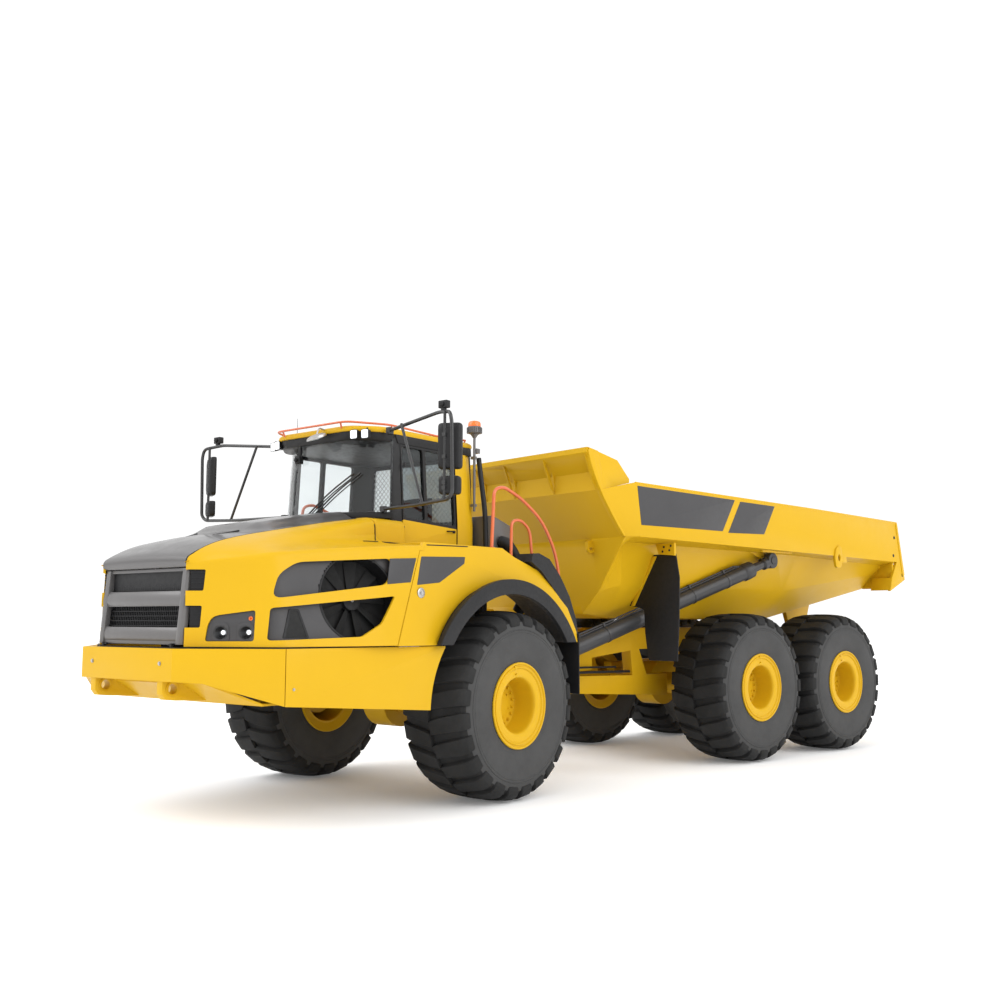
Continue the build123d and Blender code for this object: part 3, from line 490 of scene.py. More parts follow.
def rim_mesh():
    bm = new_bm()
    outer = [(o, r) for o, r in RIM_FACE[4:]]
    add_turned(bm, (0, 0, 0), (1, 0, 0), [(340, 300), (340, 400)] + outer, 72)
    # inward side: flange, barrel and the drum that carries the hub
    add_turned(bm, (0, 0, 0), (1, 0, 0), [(340, 300), (-340, 300), (-345, 404), (-356, 409), (-366, 405), (-369, 396), (-364, 386), (-350, 330), (-330, 290), (-60, 284), (60, 282), (78, 250), (60, 160), (40, 122)], 72)
    # bolts on the hub's face and a filler plug
    for k in range(18):
        a = 2 * math.pi * k / 18
        add_bolt(bm, (112, 196 * math.cos(a), 196 * math.sin(a)), (1, 0, 0), 13, 20)
    add_turned(bm, (112, 0, 0), (1, 0, 0), [(0, 150), (8, 146), (10, 120), (22, 112), (24, 0)], 36)
    for k in range(6):
        a = 2 * math.pi * (k + 0.5) / 6
        add_bolt(bm, (122, 130 * math.cos(a), 130 * math.sin(a)), (1, 0, 0), 9, 12)
    # lock ring's gap and the valve
    add_box(bm, 352, 372, -14, 14, 352, 384)
    add_tube(bm, [(300, 0, 250), (340, 0, 286), (376, 0, 312)], 6, 20, 8)
    bmesh.ops.recalc_face_normals(bm, faces=bm.faces)
    bmesh.ops.transform(bm, matrix=Matrix.Diagonal((0.001, 0.001, 0.001, 1)), verts=bm.verts)
    me = bpy.data.meshes.new("rim_visual")
    bm.to_mesh(me)
    bm.free()
    me.materials.append(YELLOW)
    tmp = bpy.data.objects.new("rim_tmp", me)
    bpy.context.scene.collection.objects.link(tmp)
    finish_mesh(tmp, 0.0, 1, math.radians(28))
    me = tmp.data
    bpy.data.objects.remove(tmp)
    return me


tyre_me, rim_me = tyre_mesh(), rim_mesh()
for row, y in AXLES.items():
    for tag, s in (("left", 1), ("right", -1)):
        name = row + "_" + tag
        base = TRACTOR_M if row == "front" else LOAD_M
        spin = Matrix.Rotation(math.radians({"front": 11, "middle": 4, "rear": 19}[row] * s), 4, "X")
        at = base @ Matrix.Translation((s * TRACK / 2, y, HUB_Z)) @ Matrix.Diagonal((1000, 1000, 1000, 1))
        if s < 0:
            spin = spin @ Matrix.Rotation(math.pi, 4, "Z")
        for shape, kind, sl in ((tyre_me, "tyre_", "tyre"), (rim_me, "rim_", "yellow_paint")):
            me = shape.copy()
            me.transform(spin)
            o = bpy.data.objects.new(kind + name + "_skin", me)
            bpy.context.scene.collection.objects.link(o)
            o.matrix_world = at
            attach(o, "wheel_" + name)
            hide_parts(kind + name)

# ---------------------------------------------------------------- hood
def mono(pts, t):
    """Smooth value at t through (t, value) points, without overshoot."""
    if t <= pts[0][0]:
        return pts[0][1]
    if t >= pts[-1][0]:
        return pts[-1][1]
    n = len(pts)
    d = [(pts[i + 1][1] - pts[i][1]) / (pts[i + 1][0] - pts[i][0]) for i in range(n - 1)]
    m = [d[0]] + [0.0 if d[i - 1] * d[i] <= 0 else 2 * d[i - 1] * d[i] / (d[i - 1] + d[i]) for i in range(1, n - 1)] + [d[-1]]
    i = max(k for k in range(n - 1) if pts[k][0] <= t)
    h = pts[i + 1][0] - pts[i][0]
    s = (t - pts[i][0]) / h
    return pts[i][1] * (1 + 2 * s) * (1 - s) ** 2 + m[i] * h * s * (1 - s) ** 2 + pts[i + 1][1] * s * s * (3 - 2 * s) + m[i + 1] * h * s * s * (s - 1)


def step(a, b, t):
    s = max(0.0, min(1.0, (t - a) / (b - a)))
    return s * s * (3 - 2 * s)


CROWN = [(-4300, 2176), (-4160, 2264), (-4000, 2330), (-3770, 2390), (-3500, 2445), (-3100, 2520), (-2800, 2575), (-2400, 2637)]
HAUNCH_X = [(-4300, 603), (-4192, 650), (-3969, 800), (-3800, 850), (-3400, 868), (-3000, 858), (-2400, 838)]
HAUNCH_Z = [(-4300, 2165), (-4192, 2218), (-3969, 2290), (-3800, 2338), (-3400, 2425), (-3000, 2505), (-2400, 2628)]
WAIST_X = [(-4300, 602), (-4192, 690), (-3969, 930), (-3800, 1010), (-3400, 1000), (-3000, 930), (-2400, 838)]
WAIST_Z = [(-4300, 2145), (-4192, 2190), (-3969, 2248), (-3800, 2278), (-3400, 2322), (-3100, 2348), (-2700, 2374), (-2400, 2390)]
SHOULDER_X = [(-4300, 598), (-4192, 735), (-3969, 1050), (-3890, 1145), (-3800, 1195), (-3600, 1240), (-3000, 1362), (-2445, 1444), (-2400, 1449)]
SHOULDER_Z = [(-4300, 2118), (-4192, 2150), (-3969, 2196), (-3800, 2224), (-3400, 2270), (-3000, 2305), (-2400, 2350)]
FOOT_X = [(-4300, 602), (-4192, 758), (-3969, 1148), (-3890, 1264), (-3800, 1316), (-3600, 1360), (-3200, 1458), (-2815, 1541), (-2400, 1560)]
FOOT_Z = 1464.0
NOSE_ROWS = [(-4262, 2104, -4300), (-4284, 2109, -4297), (-4300, 2126, -4294), (-4306, 2150, -4290), (-4301, 2174, -4284), (-4284, 2195, -4272), (-4254, 2214, -4248), (-4212, 2238, -4212)]


def hood_x(y, z):
    sx, sz, fx = mono(SHOULDER_X, y), mono(SHOULDER_Z, y), mono(FOOT_X, y)
    return fx + (sx - fx) * (z - FOOT_Z) / (sz - FOOT_Z)


def chaikin(pts, times):
    for _ in range(times):
        out = [pts[0]]
        for a, b in zip(pts, pts[1:]):
            out += [a.lerp(b, 0.25), a.lerp(b, 0.75)]
        out.append(pts[-1])
        pts = out
    return pts


def hood_row(ys, crown, camber):
    """Right half of a section, middle first. ys is the side's own y; crown is (y, z) of the grey centre."""
    cy, cz = crown
    cols = []
    for k in range(9):
        x = 597.0 * k / 8
        lift = camber * (1 - (x / 600) ** 2)
        hump = 62 * step(-3560, -3380, cy) * (1 - step(400, 500, x)) if camber else 0.0
        cols.append(Vector((x, cy, cz + lift + hump)))
    cols.append(Vector((599, cy + 2, cz - 9)))
    sx, sz, fx = mono(SHOULDER_X, ys), mono(SHOULDER_Z, ys), mono(FOOT_X, ys)
    wx, wz = mono(WAIST_X, ys), mono(WAIST_Z, ys)
    start = Vector((603, (cy + ys) / 2, min(cz, mono(CROWN, ys)) - 2))
    s = Vector((sx, ys, sz))
    inner = Vector((wx, ys, wz))
    k = min(75.0, (inner - s).length * 0.45)
    a = s + (inner - s).normalized() * k if k > 1 else s + Vector((-0.5, 0, 1))
    f = Vector((fx, ys, FOOT_Z))
    b = s.lerp(f, 0.13)
    mid = s.lerp(f, 0.55) + Vector((7, 0, 0))
    ctrl = [start, Vector((mono(HAUNCH_X, ys), ys, mono(HAUNCH_Z, ys))), inner, a, s, b, mid, f]
    return cols + chaikin(ctrl, 2)


def hood_grid():
    rows = [hood_row(side, (cy, cz), 0.0 if i < 2 else 26.0 * min(1, (i - 1) / 5)) for i, (cy, cz, side) in enumerate(NOSE_ROWS)]
    n = 46
    for i in range(n + 1):
        y = -4175 + (4175 - 2400) * i / n
        rows.append(hood_row(y, (y, mono(CROWN, y)), 26.0))
    bm = new_bm()
    full = []
    for r in rows:
        left = [Vector((-p.x, p.y, p.z)) for p in reversed(r[1:])]
        full.append([bm.verts.new(p) for p in left + r])
    m = len(rows[0])
    for a, b in zip(full, full[1:]):
        for j in range(len(a) - 1):
            k = j - (m - 1) if j >= m - 1 else (m - 2) - j     # column counted from the middle
            mat = 1 if k < 8 else (2 if k < 10 else 0)
            bm.faces.new((a[j], a[j + 1], b[j + 1], b[j])).material_index = mat
    bm.normal_update()
    top = max(bm.faces, key=lambda f: f.calc_center_median().z)
    if top.normal.z < 0:
        bmesh.ops.reverse_faces(bm, faces=bm.faces)
    return bm


def shell_object(name, bm, mats, thickness, matrix):
    bmesh.ops.transform(bm, matrix=matrix, verts=bm.verts)
    me = bpy.data.meshes.new(name)
    bm.to_mesh(me)
    bm.free()
    o = bpy.data.objects.new(name, me)
    bpy.context.scene.collection.objects.link(o)
    for m in mats:
        me.materials.append(m)
    s = o.modifiers.new("thick", "SOLIDIFY")
    s.thickness = thickness / 1000
    s.offset = -1.0
    s.use_even_offset = False
    apply_modifiers(o)
    return o


UPPER_INTAKE = [(-3905, 1850), (-3850, 2050), (-3690, 2150), (-2760, 2215), (-2840, 1985)]
LOWER_INTAKE = [(-3940, 1515), (-3915, 1775), (-2780, 1886), (-2950, 1650), (-3150, 1540)]
LAMP_A, LAMP_T = Vector((740, -4203, 0)), Vector((0.856, 0.517, 0))
LAMP_N = Vector((0.517, -0.856, 0))
LAMP_OUT = round_poly([(0, 1507), (26, 1640), (62, 1696), (112, 1716), (431, 1757), (400, 1509)], 26)


def facet(a, b, depth, sx=1):
    """Point on the hood's front corner: a along it, b up, depth inward."""
    p = LAMP_A + LAMP_T * a
    x = hood_x(p.y, b)
    q = Vector((x, p.y, b)) - LAMP_N * depth
    return Vector((q.x * sx, q.y, q.z))


def prism_cutter(pts3, vec):
    bm = new_bm()
    add_prism(bm, pts3, vec)
    bmesh.ops.transform(bm, matrix=TRACTOR_M, verts=bm.verts)
    return bm


hood_o = shell_object("hood_skin", hood_grid(), [YELLOW, GREY_HOOD, BLACK], 20.0, TRACTOR_M)
cutters = []
for s in (1, -1):
    for pts, r in ((UPPER_INTAKE, 70), (LOWER_INTAKE, 26)):
        cutters.append(prism_cutter([(s * 950, y, z) for y, z in round_poly(pts, r)], (s * 700, 0, 0)))
    cutters.append(prism_cutter([(s * 900, y, z) for y, z in ((-2445, 2302), (-2815, 1455), (-2830, 1400), (-2300, 1400), (-2300, 2302))], (s * 900, 0, 0)))
    cutters.append(prism_cutter([facet(a, b, 60, s) for a, b in LAMP_OUT], LAMP_N * 160 if s > 0 else (-LAMP_N.x * 160, LAMP_N.y * 160, 0)))
    for z0, z1, x1 in ((1912, 2084, 718), (1616, 1792, 706)):
        pts = round_poly([(585, z0), (x1, z0), (x1 + 8, z1), (585, z1)], 14)
        cutters.append(prism_cutter([(s * x, -4420, z) for x, z in pts], (0, 330, 0)))
cut(hood_o, cutters)
hood_o.data.shade_smooth()
sharp_by_angle(hood_o.data, math.radians(32))
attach(hood_o, "hood_body")
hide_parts("hood")

# slots on the grey centre, and the seam line behind the nose
bm = new_bm()
for s in (-1, 1):
    for k, (y0, ln) in enumerate(((-3740, 150), (-3700, 130), (-3660, 110))):
        x0 = s * (190 + 26 * k)
        z = mono(CROWN, y0) + 26 * (1 - (x0 / 600) ** 2)
        quad_strip(bm, [[(x0 - 9, y0, z - 12), (x0 + 9, y0, z - 12), (x0 + 9, y0, z + 2), (x0 - 9, y0, z + 2)],
                        [(x0 - 9 + s * 60, y0 + ln, z + 20), (x0 + 9 + s * 60, y0 + ln, z + 20), (x0 + 9 + s * 60, y0 + ln, z + 34), (x0 - 9 + s * 60, y0 + ln, z + 34)]])
emit("hood_slots", bm, "hood_body", BLACK, bevel=3)

# dark panels behind the side intakes, with the round fan opening
FAN = Vector((0, -3106, 1862))
bm = new_bm()
for s in (1, -1):
    vs = {}
    ny, nz = 62, 37
    for i in range(ny + 1):
        for j in range(nz + 1):
            y, z = -3975 + 1245 * i / ny, 1490 + 745 * j / nz
            vs[i, j] = bm.verts.new((s * (hood_x(y, z) - 52), y, z))
    for i in range(ny):
        for j in range(nz):
            c = (vs[i, j].co + vs[i + 1, j + 1].co) / 2
            if math.hypot(c.y - FAN.y, c.z - FAN.z) > 372 and c.z < mono(SHOULDER_Z, c.y) - 45:
                q = (vs[i, j], vs[i + 1, j], vs[i + 1, j + 1], vs[i, j + 1])
                bm.faces.new(q if s > 0 else q[::-1])
bmesh.ops.delete(bm, geom=[v for v in bm.verts if not v.link_faces], context="VERTS")
emit("intake_panels", bm, "hood_body", PANEL, recalc=False, smooth=math.radians(40))
bm = new_bm()
bv = new_bm()
for s in (1, -1):
    ax = Vector((s * 1.0, -0.215, 0.165)).normalized()
    c = Vector((s * (hood_x(FAN.y, FAN.z) - 60), FAN.y, FAN.z))
    add_turned(bm, c, ax, [(-190, 364), (2, 364), (7, 369), (7, 380), (1, 386), (-190, 386)], 72, closed=True)
    # dark disc closing the fan opening at depth: painted shade of the deep opening
    add_turned(bv, c, ax, [(-170, 366), (-176, 200), (-176, 0)], 48)
    # the blades take the same painted-shade black
    for k in range(9):      # fan blades, deep in the opening
        a0 = 2 * math.pi * k / 9
        _, u, w = frame_of(ax)
        ring = []
        for r, da, dd in ((80, 0.0, -150), (350, 0.10, -162), (350, 0.42, -120), (80, 0.50, -128)):
            ring.append(c + ax * dd + (u * math.cos(a0 + da) + w * math.sin(a0 + da)) * r)
        quad_strip(bv, [ring, [p - ax * 4 for p in ring]])
    add_turned(bm, c, ax, [(-150, 90), (-104, 84), (-96, 60), (-96, 0)], 24)
    # the black pocket near the front of the lower intake
    for d0, ww in ((44, 0),):
        pts = round_poly([(-3828, 1532), (-3758, 1768), (-3672, 1768), (-3598, 1532)], 14)
        hole = round_poly([(-3806, 1540), (-3746, 1752), (-3684, 1752), (-3620, 1540)], 10)
        add_plate(bm, pts, [hole], lambda a, b, dep, d0=d0, s=s: Vector((s * (hood_x(a, b) - d0 - dep), a, b)), 8)
        # dark plate filling the pocket's hole: painted shade inside the pocket
        add_plate(bv, hole, [], lambda a, b, dep, d0=d0, s=s: Vector((s * (hood_x(a, b) - d0 - 3 - dep), a, b)), 6)
emit("intake_fans", bm, "tractor", BLACK, replaces=["fan_cowls"], smooth=math.radians(40))
emit("intake_depths", bv, "tractor", SHADE_VOID, smooth=math.radians(40))
bm = new_bm()
for s in (1, -1):
    ax = Vector((s * 1.0, -0.215, 0.165)).normalized()
    c = Vector((s * (hood_x(FAN.y, FAN.z) - 60), FAN.y, FAN.z))
    add_bolt(bm, c + ax * (-96), ax, 12, 12)
emit("intake_bolts", bm, "tractor", BARE)

# ---------------------------------------------------------------- grille
def yf(z):
    return -4312 + 0.084 * (z - 1482)


def grille_plane(a, b, depth):
    return Vector((a, yf(b) + depth, b))


bm = new_bm()
out = round_poly([(-588, 1478), (588, 1478), (588, 2100), (-588, 2100)], 16)
holes = [round_poly([(-522, z0), (522, z0), (522, z1), (-522, z1)], 12) for z0, z1 in ((1914, 2074), (1618, 1790))]
add_plate(bm, out, holes, grille_plane, 46)
# broad bars standing a little proud of the frame
for z0, z1, d in ((1794, 1910, 14), (1506, 1614, 10)):
    n = 8
    prof = []
    for k in range(n + 1):
        t = k / n
        z = z0 + (z1 - z0) * t
        prof.append((yf(z) - d * math.sin(math.pi * t) ** 0.6, z))
    prof += [(yf(z1) + 30, z1), (yf(z0) + 30, z0)]
    prism_x(bm, prof, -586, 586)
for s in (1, -1):      # corner posts, rounded toward the side
    prof = [(520, 0), (522, -12), (548, -18), (575, -14), (590, 4), (592, 40), (520, 40)]
    quad_strip(bm, [[(s * x, yf(z) + d, z) for x, d in prof] for z in (1480, 1800, 2098)])
emit("grille_frame", bm, "hood_body", GREY_FRAME, replaces=["grille"], bevel=5, segments=3)
bm = new_bm()
add_box(bm, -560, 560, -4238, -4232, 1490, 2090)
for x in range(-520, 521, 26):
    add_prism(bm, [(x - 2, yf(1600) + 34, 1600), (x + 2, yf(1600) + 34, 1600), (x + 2, yf(1600) + 42, 1600), (x - 2, yf(1600) + 42, 1600)], (0, (2090 - 1600) * 0.084, 490))
for z in list(range(1630, 1790, 40)) + list(range(1926, 2074, 40)):
    add_box(bm, -530, 530, yf(z) + 30, yf(z) + 44, z - 3, z + 3)
for x in (-300, 0, 300):
    add_box(bm, x - 16, x + 16, yf(1800) + 50, yf(1800) + 60, 1600, 2090)
# louvres that wrap round each corner
for s in (1, -1):
    for z0, z1 in ((1900, 2094), (1604, 1804)):
        for a0 in (-150,):
            quad_strip(bm, [[facet(a, z, 22, s), facet(a, z, 34, s)] for a, z in ((a0, z0), (8, z0), (8, z1), (a0, z1))] + [[facet(a0, z0, 22, s), facet(a0, z0, 34, s)]], close_ring=False, cap=False)
            add_plate(bm, [(a0, z0), (6, z0), (6, z1), (a0, z1)], [], lambda a, b, d, s=s: facet(a, b, 24 + d, s), 8)
        for k in range(4):
            z = z0 + 40 + k * (z1 - z0 - 70) / 3
            add_plate(bm, [(-150, z - 5), (4, z - 5), (4, z + 5), (-150, z + 5)], [], lambda a, b, d, s=s: facet(a, b, 12 + d, s), 10)
emit("grille_mesh", bm, "hood_body", BLACK)
# black strip between the bumper and the hood
bm = new_bm()
for s in (1, -1):
    pts = [(0, -4352), (560, -4352), (600, -4316), (1290, -3905), (1318, -3830), (1292, -3825), (1262, -3885), (585, -4290), (555, -4322), (0, -4322)]
    quad_strip(bm, [[(s * x, y, z) for x, y in pts] for z in (1449.5, 1459)])
    side = [(1318, -3830), (1528, -2235), (1500, -2235), (1292, -3825)]
    quad_strip(bm, [[(s * x, y, z) for x, y in side] for z in (1451, 1459)])
emit("belt_seal", bm, "tractor", BLACK)

# ---------------------------------------------------------------- headlights
bm = new_bm()
bl = new_bm()
bg = new_bm()
for s in (1, -1):
    holes = []
    for a, b, r in ((132, 1574, 56), (338, 1576, 56), (382, 1690, 15)):
        holes.append([(a + r * math.cos(2 * math.pi * k / 24), b + r * math.sin(2 * math.pi * k / 24)) for k in range(24)])
        c, d = facet(a, b, 30, s), Vector((LAMP_N.x * s, LAMP_N.y, 0))
        big = r > 30
        add_turned(bg, c, d, [(20, r + 3), (26, r + 1), (24, r - 5), (4, r * 0.74), (-20, r * 0.42), (-26, 0)], 28, mat=0 if big else 2)
        c = c + Vector((LAMP_T.x * s, LAMP_T.y, 0)) * (16 if big else 0) + Vector((0, 0, 4))
        add_turned(bg, c, d, [(-24, 0), (-22, r * 0.20), (2, r * 0.36), (10, r * 0.28), (13, 0)], 20, mat=1 if big else 2)
    inner = [(a * 0.985 + 4, 1507 + (b - 1507) * 0.985 + 2) for a, b in LAMP_OUT]
    add_plate(bm, inner, holes, lambda a, b, d, s=s: facet(a, b, 8 + d, s), 30)
    for a in (132, 338):
        pts = [(a - 72, 1511), (a - 68, 1632), (a - 40, 1652), (a + 44, 1662), (a + 68, 1632), (a + 72, 1511)]
        hole = [(a + 59 * math.cos(2 * math.pi * k / 20), 1575 + 59 * math.sin(2 * math.pi * k / 20)) for k in range(20)]
        add_plate(bm, round_poly(pts, 20), [hole], lambda a_, b_, d, s=s: facet(a_, b_, 3 + d, s), 8)
emit("headlight_housings", bm, "hood_body", PANEL, replaces=["headlights"], bevel=2)
emit("headlight_lamps", bg, "hood_body", [BLACK_SATIN, LENS, AMBER])

# ---------------------------------------------------------------- painted plate work with rolled edges
soften("front_bumper", [YELLOW, BLACK], "tractor", 9, 3, pick=lambda c, n: 1 if c.z > 1.479 else 0)
soften("side_skirts", YELLOW, "tractor", 8, 3)
soften("fenders", YELLOW, "tractor", 12, 3)
soften("wheel_arches", BLACK, "tractor", 10, 3)
soften("front_frame", [YELLOW_DEEP, BLACK], "tractor", 5, 2, pick=lambda c, n: 1 if c.z > 1.479 else 0)
soften("rear_frame", YELLOW_DEEP, "load_chassis", 7, 2)
soften("hitch_yoke", YELLOW_DEEP, "load_chassis", 7, 2)
soften("bogie_beams", YELLOW_DEEP, "load_chassis", 10, 2)
for tag, s in (("left", 1), ("right", -1)):
    side_o = soften("bed_side_" + tag, YELLOW, "dump_body", 8, 2)
    bm = new_bm()      # the hoist eye stands free on the bracket's outer side
    add_box(bm, *sorted((s * 1572, s * 1622)), 3425, 4095, 2340, 2541)
    bmesh.ops.transform(bm, matrix=LOAD_M, verts=bm.verts)
    cut(side_o, [bm])
    side_o.data.shade_smooth()
    sharp_by_angle(side_o.data, math.radians(30))
soften("bed_floor", YELLOW, "dump_body", 7, 2)
soften("bed_headboard", YELLOW, "dump_body", 7, 2)
soften("bed_flaps", RUBBER, "dump_body", 4, 2)
soften("rear_deck", BLACK, "tractor", 8, 2)
soften("cab_floor", BLACK, "tractor", 8, 2)
soften("steering_console", BLACK, "tractor", 10, 3)


def fender_x(y, z):
    return 1550 + 0.0329 * (y + 2820) - 0.1344 * (z - 1450)


# bolts on the bumper, tray edge and tow eye bosses
bm = new_bm()
for s in (1, -1):
    add_bolt(bm, (s * 484, -4436, 1331), (0, -1, 0), 13, 12)
    for y in (-3790, -3600):
        add_bolt(bm, (s * 1352, y, 1130), (s, -0.1, 0), 9, 8)
emit("bumper_bolts", bm, "tractor", BARE)
bm = new_bm()
for s in (1, -1):
    for side in (1, -1):
        c = Vector((s * 478 + side * 35, -4330, 1128))
        add_turned(bm, c, (side, 0, 0), [(-6, 41), (7, 41), (9, 44), (9, 58), (6, 62), (-6, 62)], 32, closed=True)
add_box(bm, -330, 330, -4300, -4280, 1168, 1184)
emit("tow_eye_rings", bm, "tractor", YELLOW_DEEP)

# bare dark panels on the fenders and the round cap by the seam
bm = new_bm()
br = new_bm()
for s in (1, -1):
    pts = round_poly([(-2518, 1989), (-2432, 2246), (-1848, 2268), (-1868, 2205), (-2227, 2018)], 8, 3)
    add_plate(bm, pts, [], lambda a, b, d, s=s: Vector((s * (fender_x(a, b) + 3 - d), a, b)), 6)
    # the matching end panel on the hood, behind the upper intake
    pts = [(-2790, 2212), (-2500, 2228), (-2590, 2011), (-2852, 1987)]
    add_plate(bm, pts, [], lambda a, b, d, s=s: Vector((s * (hood_x(a, b) + 7 - d), a, b)), 8)
    c = Vector((s * fender_x(-2480, 1919), -2480, 1919))
    add_turned(br, c, (s, 0, 0), [(-4, 46), (8, 46), (12, 40), (13, 30), (8, 28), (6, 14), (14, 10), (14, 0)], 32)
emit("side_panels", bm, "tractor", PANEL, bevel=1.5)
emit("side_caps", br, "tractor", BARE)

# fixed cowl between the hood and the cab
bm = new_bm()
for s in (1, -1):
    rows = []
    for k in range(9):
        y = -2388 + (2388 - 1994) * k / 8
        top = 2640 + 6 * (k / 8)
        rows.append([(s * 560, y, top + 4), (s * 700, y, top + 2), (s * 795, y, top - 18), (s * 824, y, top - 46), (s * 836, y, top - 90), (s * 838, y, 2400 + 8 * k / 8), (s * 838, y, 2386), (s * 800, y, 2386), (s * 790, y, 2560), (s * 560, y, 2600)])
    quad_strip(bm, rows)
emit("cowl_sides", bm, "tractor", YELLOW, bevel=5, smooth=math.radians(50))

# ---------------------------------------------------------------- dark seams at the hood's rear edge, the cowl and the fender's top edge
for name, body, paths in (
    ("hood_seams", "hood_body", [[(827, -2400, 2570), (834.5, -2404, 2553), (839.5, -2404, 2524), (839.5, -2403, 2495), (847, -2405.5, 2469), (868, -2427, 2441.5), (912, -2466, 2411.5)],
                                 [(940, -2652, 2393), (936.5, -2586, 2397), (938, -2526, 2397.5), (939, -2461, 2398)]]),
    ("cowl_seams", "tractor", [[(838.5, -2380, 2408), (838.5, -2213, 2409.5), (838.5, -2129, 2408), (838.5, -2070, 2407)],
                               [(1444, -2350, 2354.5), (1451, -2130, 2360.5), (1461, -1799, 2368.5)]]),
):
    bm = new_bm()
    for path in paths:
        for s_ in (1, -1):
            add_tube(bm, [Vector((s_ * x, y, z)) for x, y, z in path], 5.0, 30, 8)
    emit(name, bm, body, RUBBER)
bm = new_bm()
arc = lambda r, a, z, dy=0.0: Vector((r * math.sin(a), -1450 - r * math.cos(a) + dy, z))
rows = []
for k in range(25):
    a = math.radians(-50 + 100 * k / 24)
    rows.append([arc(1006, a, 2652), arc(1012, a, 2676), arc(1000, a, 2712), arc(975, a, 2716), arc(900, a, 2690), arc(900, a, 2640)])
quad_strip(bm, rows)
for s in (1, -1):
    add_box(bm, *sorted((s * 790, s * 840)), -2398, -905, 2383, 2398)
emit("windscreen_cowl", bm, "tractor", BLACK, smooth=math.radians(45))

# ---------------------------------------------------------------- cab
def cx(z):
    return 798 - 0.066 * max(0.0, z - 2640)


def side_plane(s, off=0.0):
    return lambda a, b, d: Vector((s * (cx(b) + off - d), a, b))


bm = new_bm()          # yellow lower body, rear pillars
bk = new_bm()          # black frames
gl = new_bm()          # fixed glass
for s in (1, -1):
    # rear pillar, broad, with its rounded rear corner
    rows = []
    for z in (1975, 2400, 2640, 3000, 3470):
        x = cx(z)
        dy = 0.065 * max(0.0, z - 2640)
        rows.append([(s * (x - 50), -1174, z), (s * x, -1172, z), (s * x, -1000 - dy, z), (s * (x - 4), -960 - dy, z), (s * (x - 14), -925 - dy * 0.8, z), (s * (x - 34), -892 - dy * 0.5, z), (s * (x - 58), -866 - dy * 0.2, z), (s * (x - 64), -904, z), (s * (x - 60), -960, z)])
    quad_strip(bm, rows)
    add_box(bm, min(s * 740, s * 799), max(s * 740, s * 799), -2000, -1172, 1975, 2388)
    if s < 0:      # the side without a door: plate below the glass
        add_plate(bm, round_poly([(-1990, 2380), (-1174, 2380), (-1174, 2606), (-1990, 2650)], 10), [], side_plane(s), 50)
    # front corner post
    rows = []
    for z in (2600, 2735, 3000, 3250, 3480):
        k = (z - 2640) * 0.066 if z > 2640 else 0
        dy = 0.044 * max(0.0, z - 2640)
        rows.append([(s * (744 - k * 0.6), -2112 + dy, z), (s * (768 - k * 0.8), -2080 + dy, z), (s * (796 - k), -2014 + dy, z), (s * (796 - k), -1992, z), (s * (758 - k), -1992, z), (s * (734 - k * 0.6), -2084 + dy, z)])
    quad_strip(bk, rows)
# rear wall with its window
add_plate(bm, [(-738, 1975), (738, 1975), (738, 2700), (-738, 2700)], [], lambda a, b, d: Vector((a, -864 - d, b)), 40)
add_plate(bk, [(-738, 2695), (738, 2695), (700, 3470), (-700, 3470)], [round_poly([(-708, 2722), (708, 2722), (676, 3358), (-676, 3358)], 30)], lambda a, b, d: Vector((a, -868 - d, b)), 36)
# header ring under the roof
for s in (1, -1):
    add_plate(bk, [(-2010, 3396), (-900, 3396), (-900, 3482), (-2040, 3482)], [], side_plane(s, -1), 60)
# fixed side frame on the right
add_plate(bk, [(-1994, 2640), (-1172, 2600), (-1172, 3400), (-1994, 3400)],
          [round_poly([(-1968, 2690), (-1662, 2674), (-1662, 3372), (-1968, 3372)], 30), round_poly([(-1620, 2670), (-1200, 2648), (-1200, 3372), (-1620, 3372)], 30)], side_plane(-1, -1), 46)
cab_o = emit("cab_body", bm, "tractor", [YELLOW, BLACK], replaces=["cab_shell"], bevel=5, smooth=math.radians(40))
_inv = TRACTOR_M.inverted()
for f in cab_o.data.polygons:      # dark lining on the inside
    c = _inv @ f.center
    n = (_inv.to_3x3() @ f.normal).normalized()
    if n.x * c.x < -0.25 * abs(c.x) or n.y < -0.4:
        f.material_index = 1
emit("cab_frames", bk, "tractor", BLACK, bevel=4)
# glass: curved windscreen, right side panes and rear pane
for r0, r1 in ((992, 986),):
    rows = []
    for k in range(29):
        a = math.radians(-49 + 98 * k / 28)
        top, low = 3440, 2700
        rows.append([arc(r0, a, low), arc(r0 - 8, a, 3070, 14), arc(r0 - 22, a, top, 28), arc(r1 - 22, a, top, 28), arc(r1 - 8, a, 3070, 14), arc(r1, a, low)])
    quad_strip(gl, rows)
emit("windscreen", gl, "tractor", GLASS_CLEAR, smooth=math.radians(60))
gl = new_bm()
add_plate(gl, [(-1972, 2686), (-1196, 2644), (-1196, 3376), (-1972, 3376)], [], side_plane(-1, -22), 6)
emit("cab_panes", gl, "tractor", GLASS_CLEAR, replaces=["cab_windows"])
gl = new_bm()
add_plate(gl, [(-712, 2718), (712, 2718), (680, 3362), (-680, 3362)], [], lambda a, b, d: Vector((a, -884 - d, b)), 6)
# the rear pane's glow is painted light
emit("rear_pane", gl, "tractor", GLOWING_PALE_PANE)
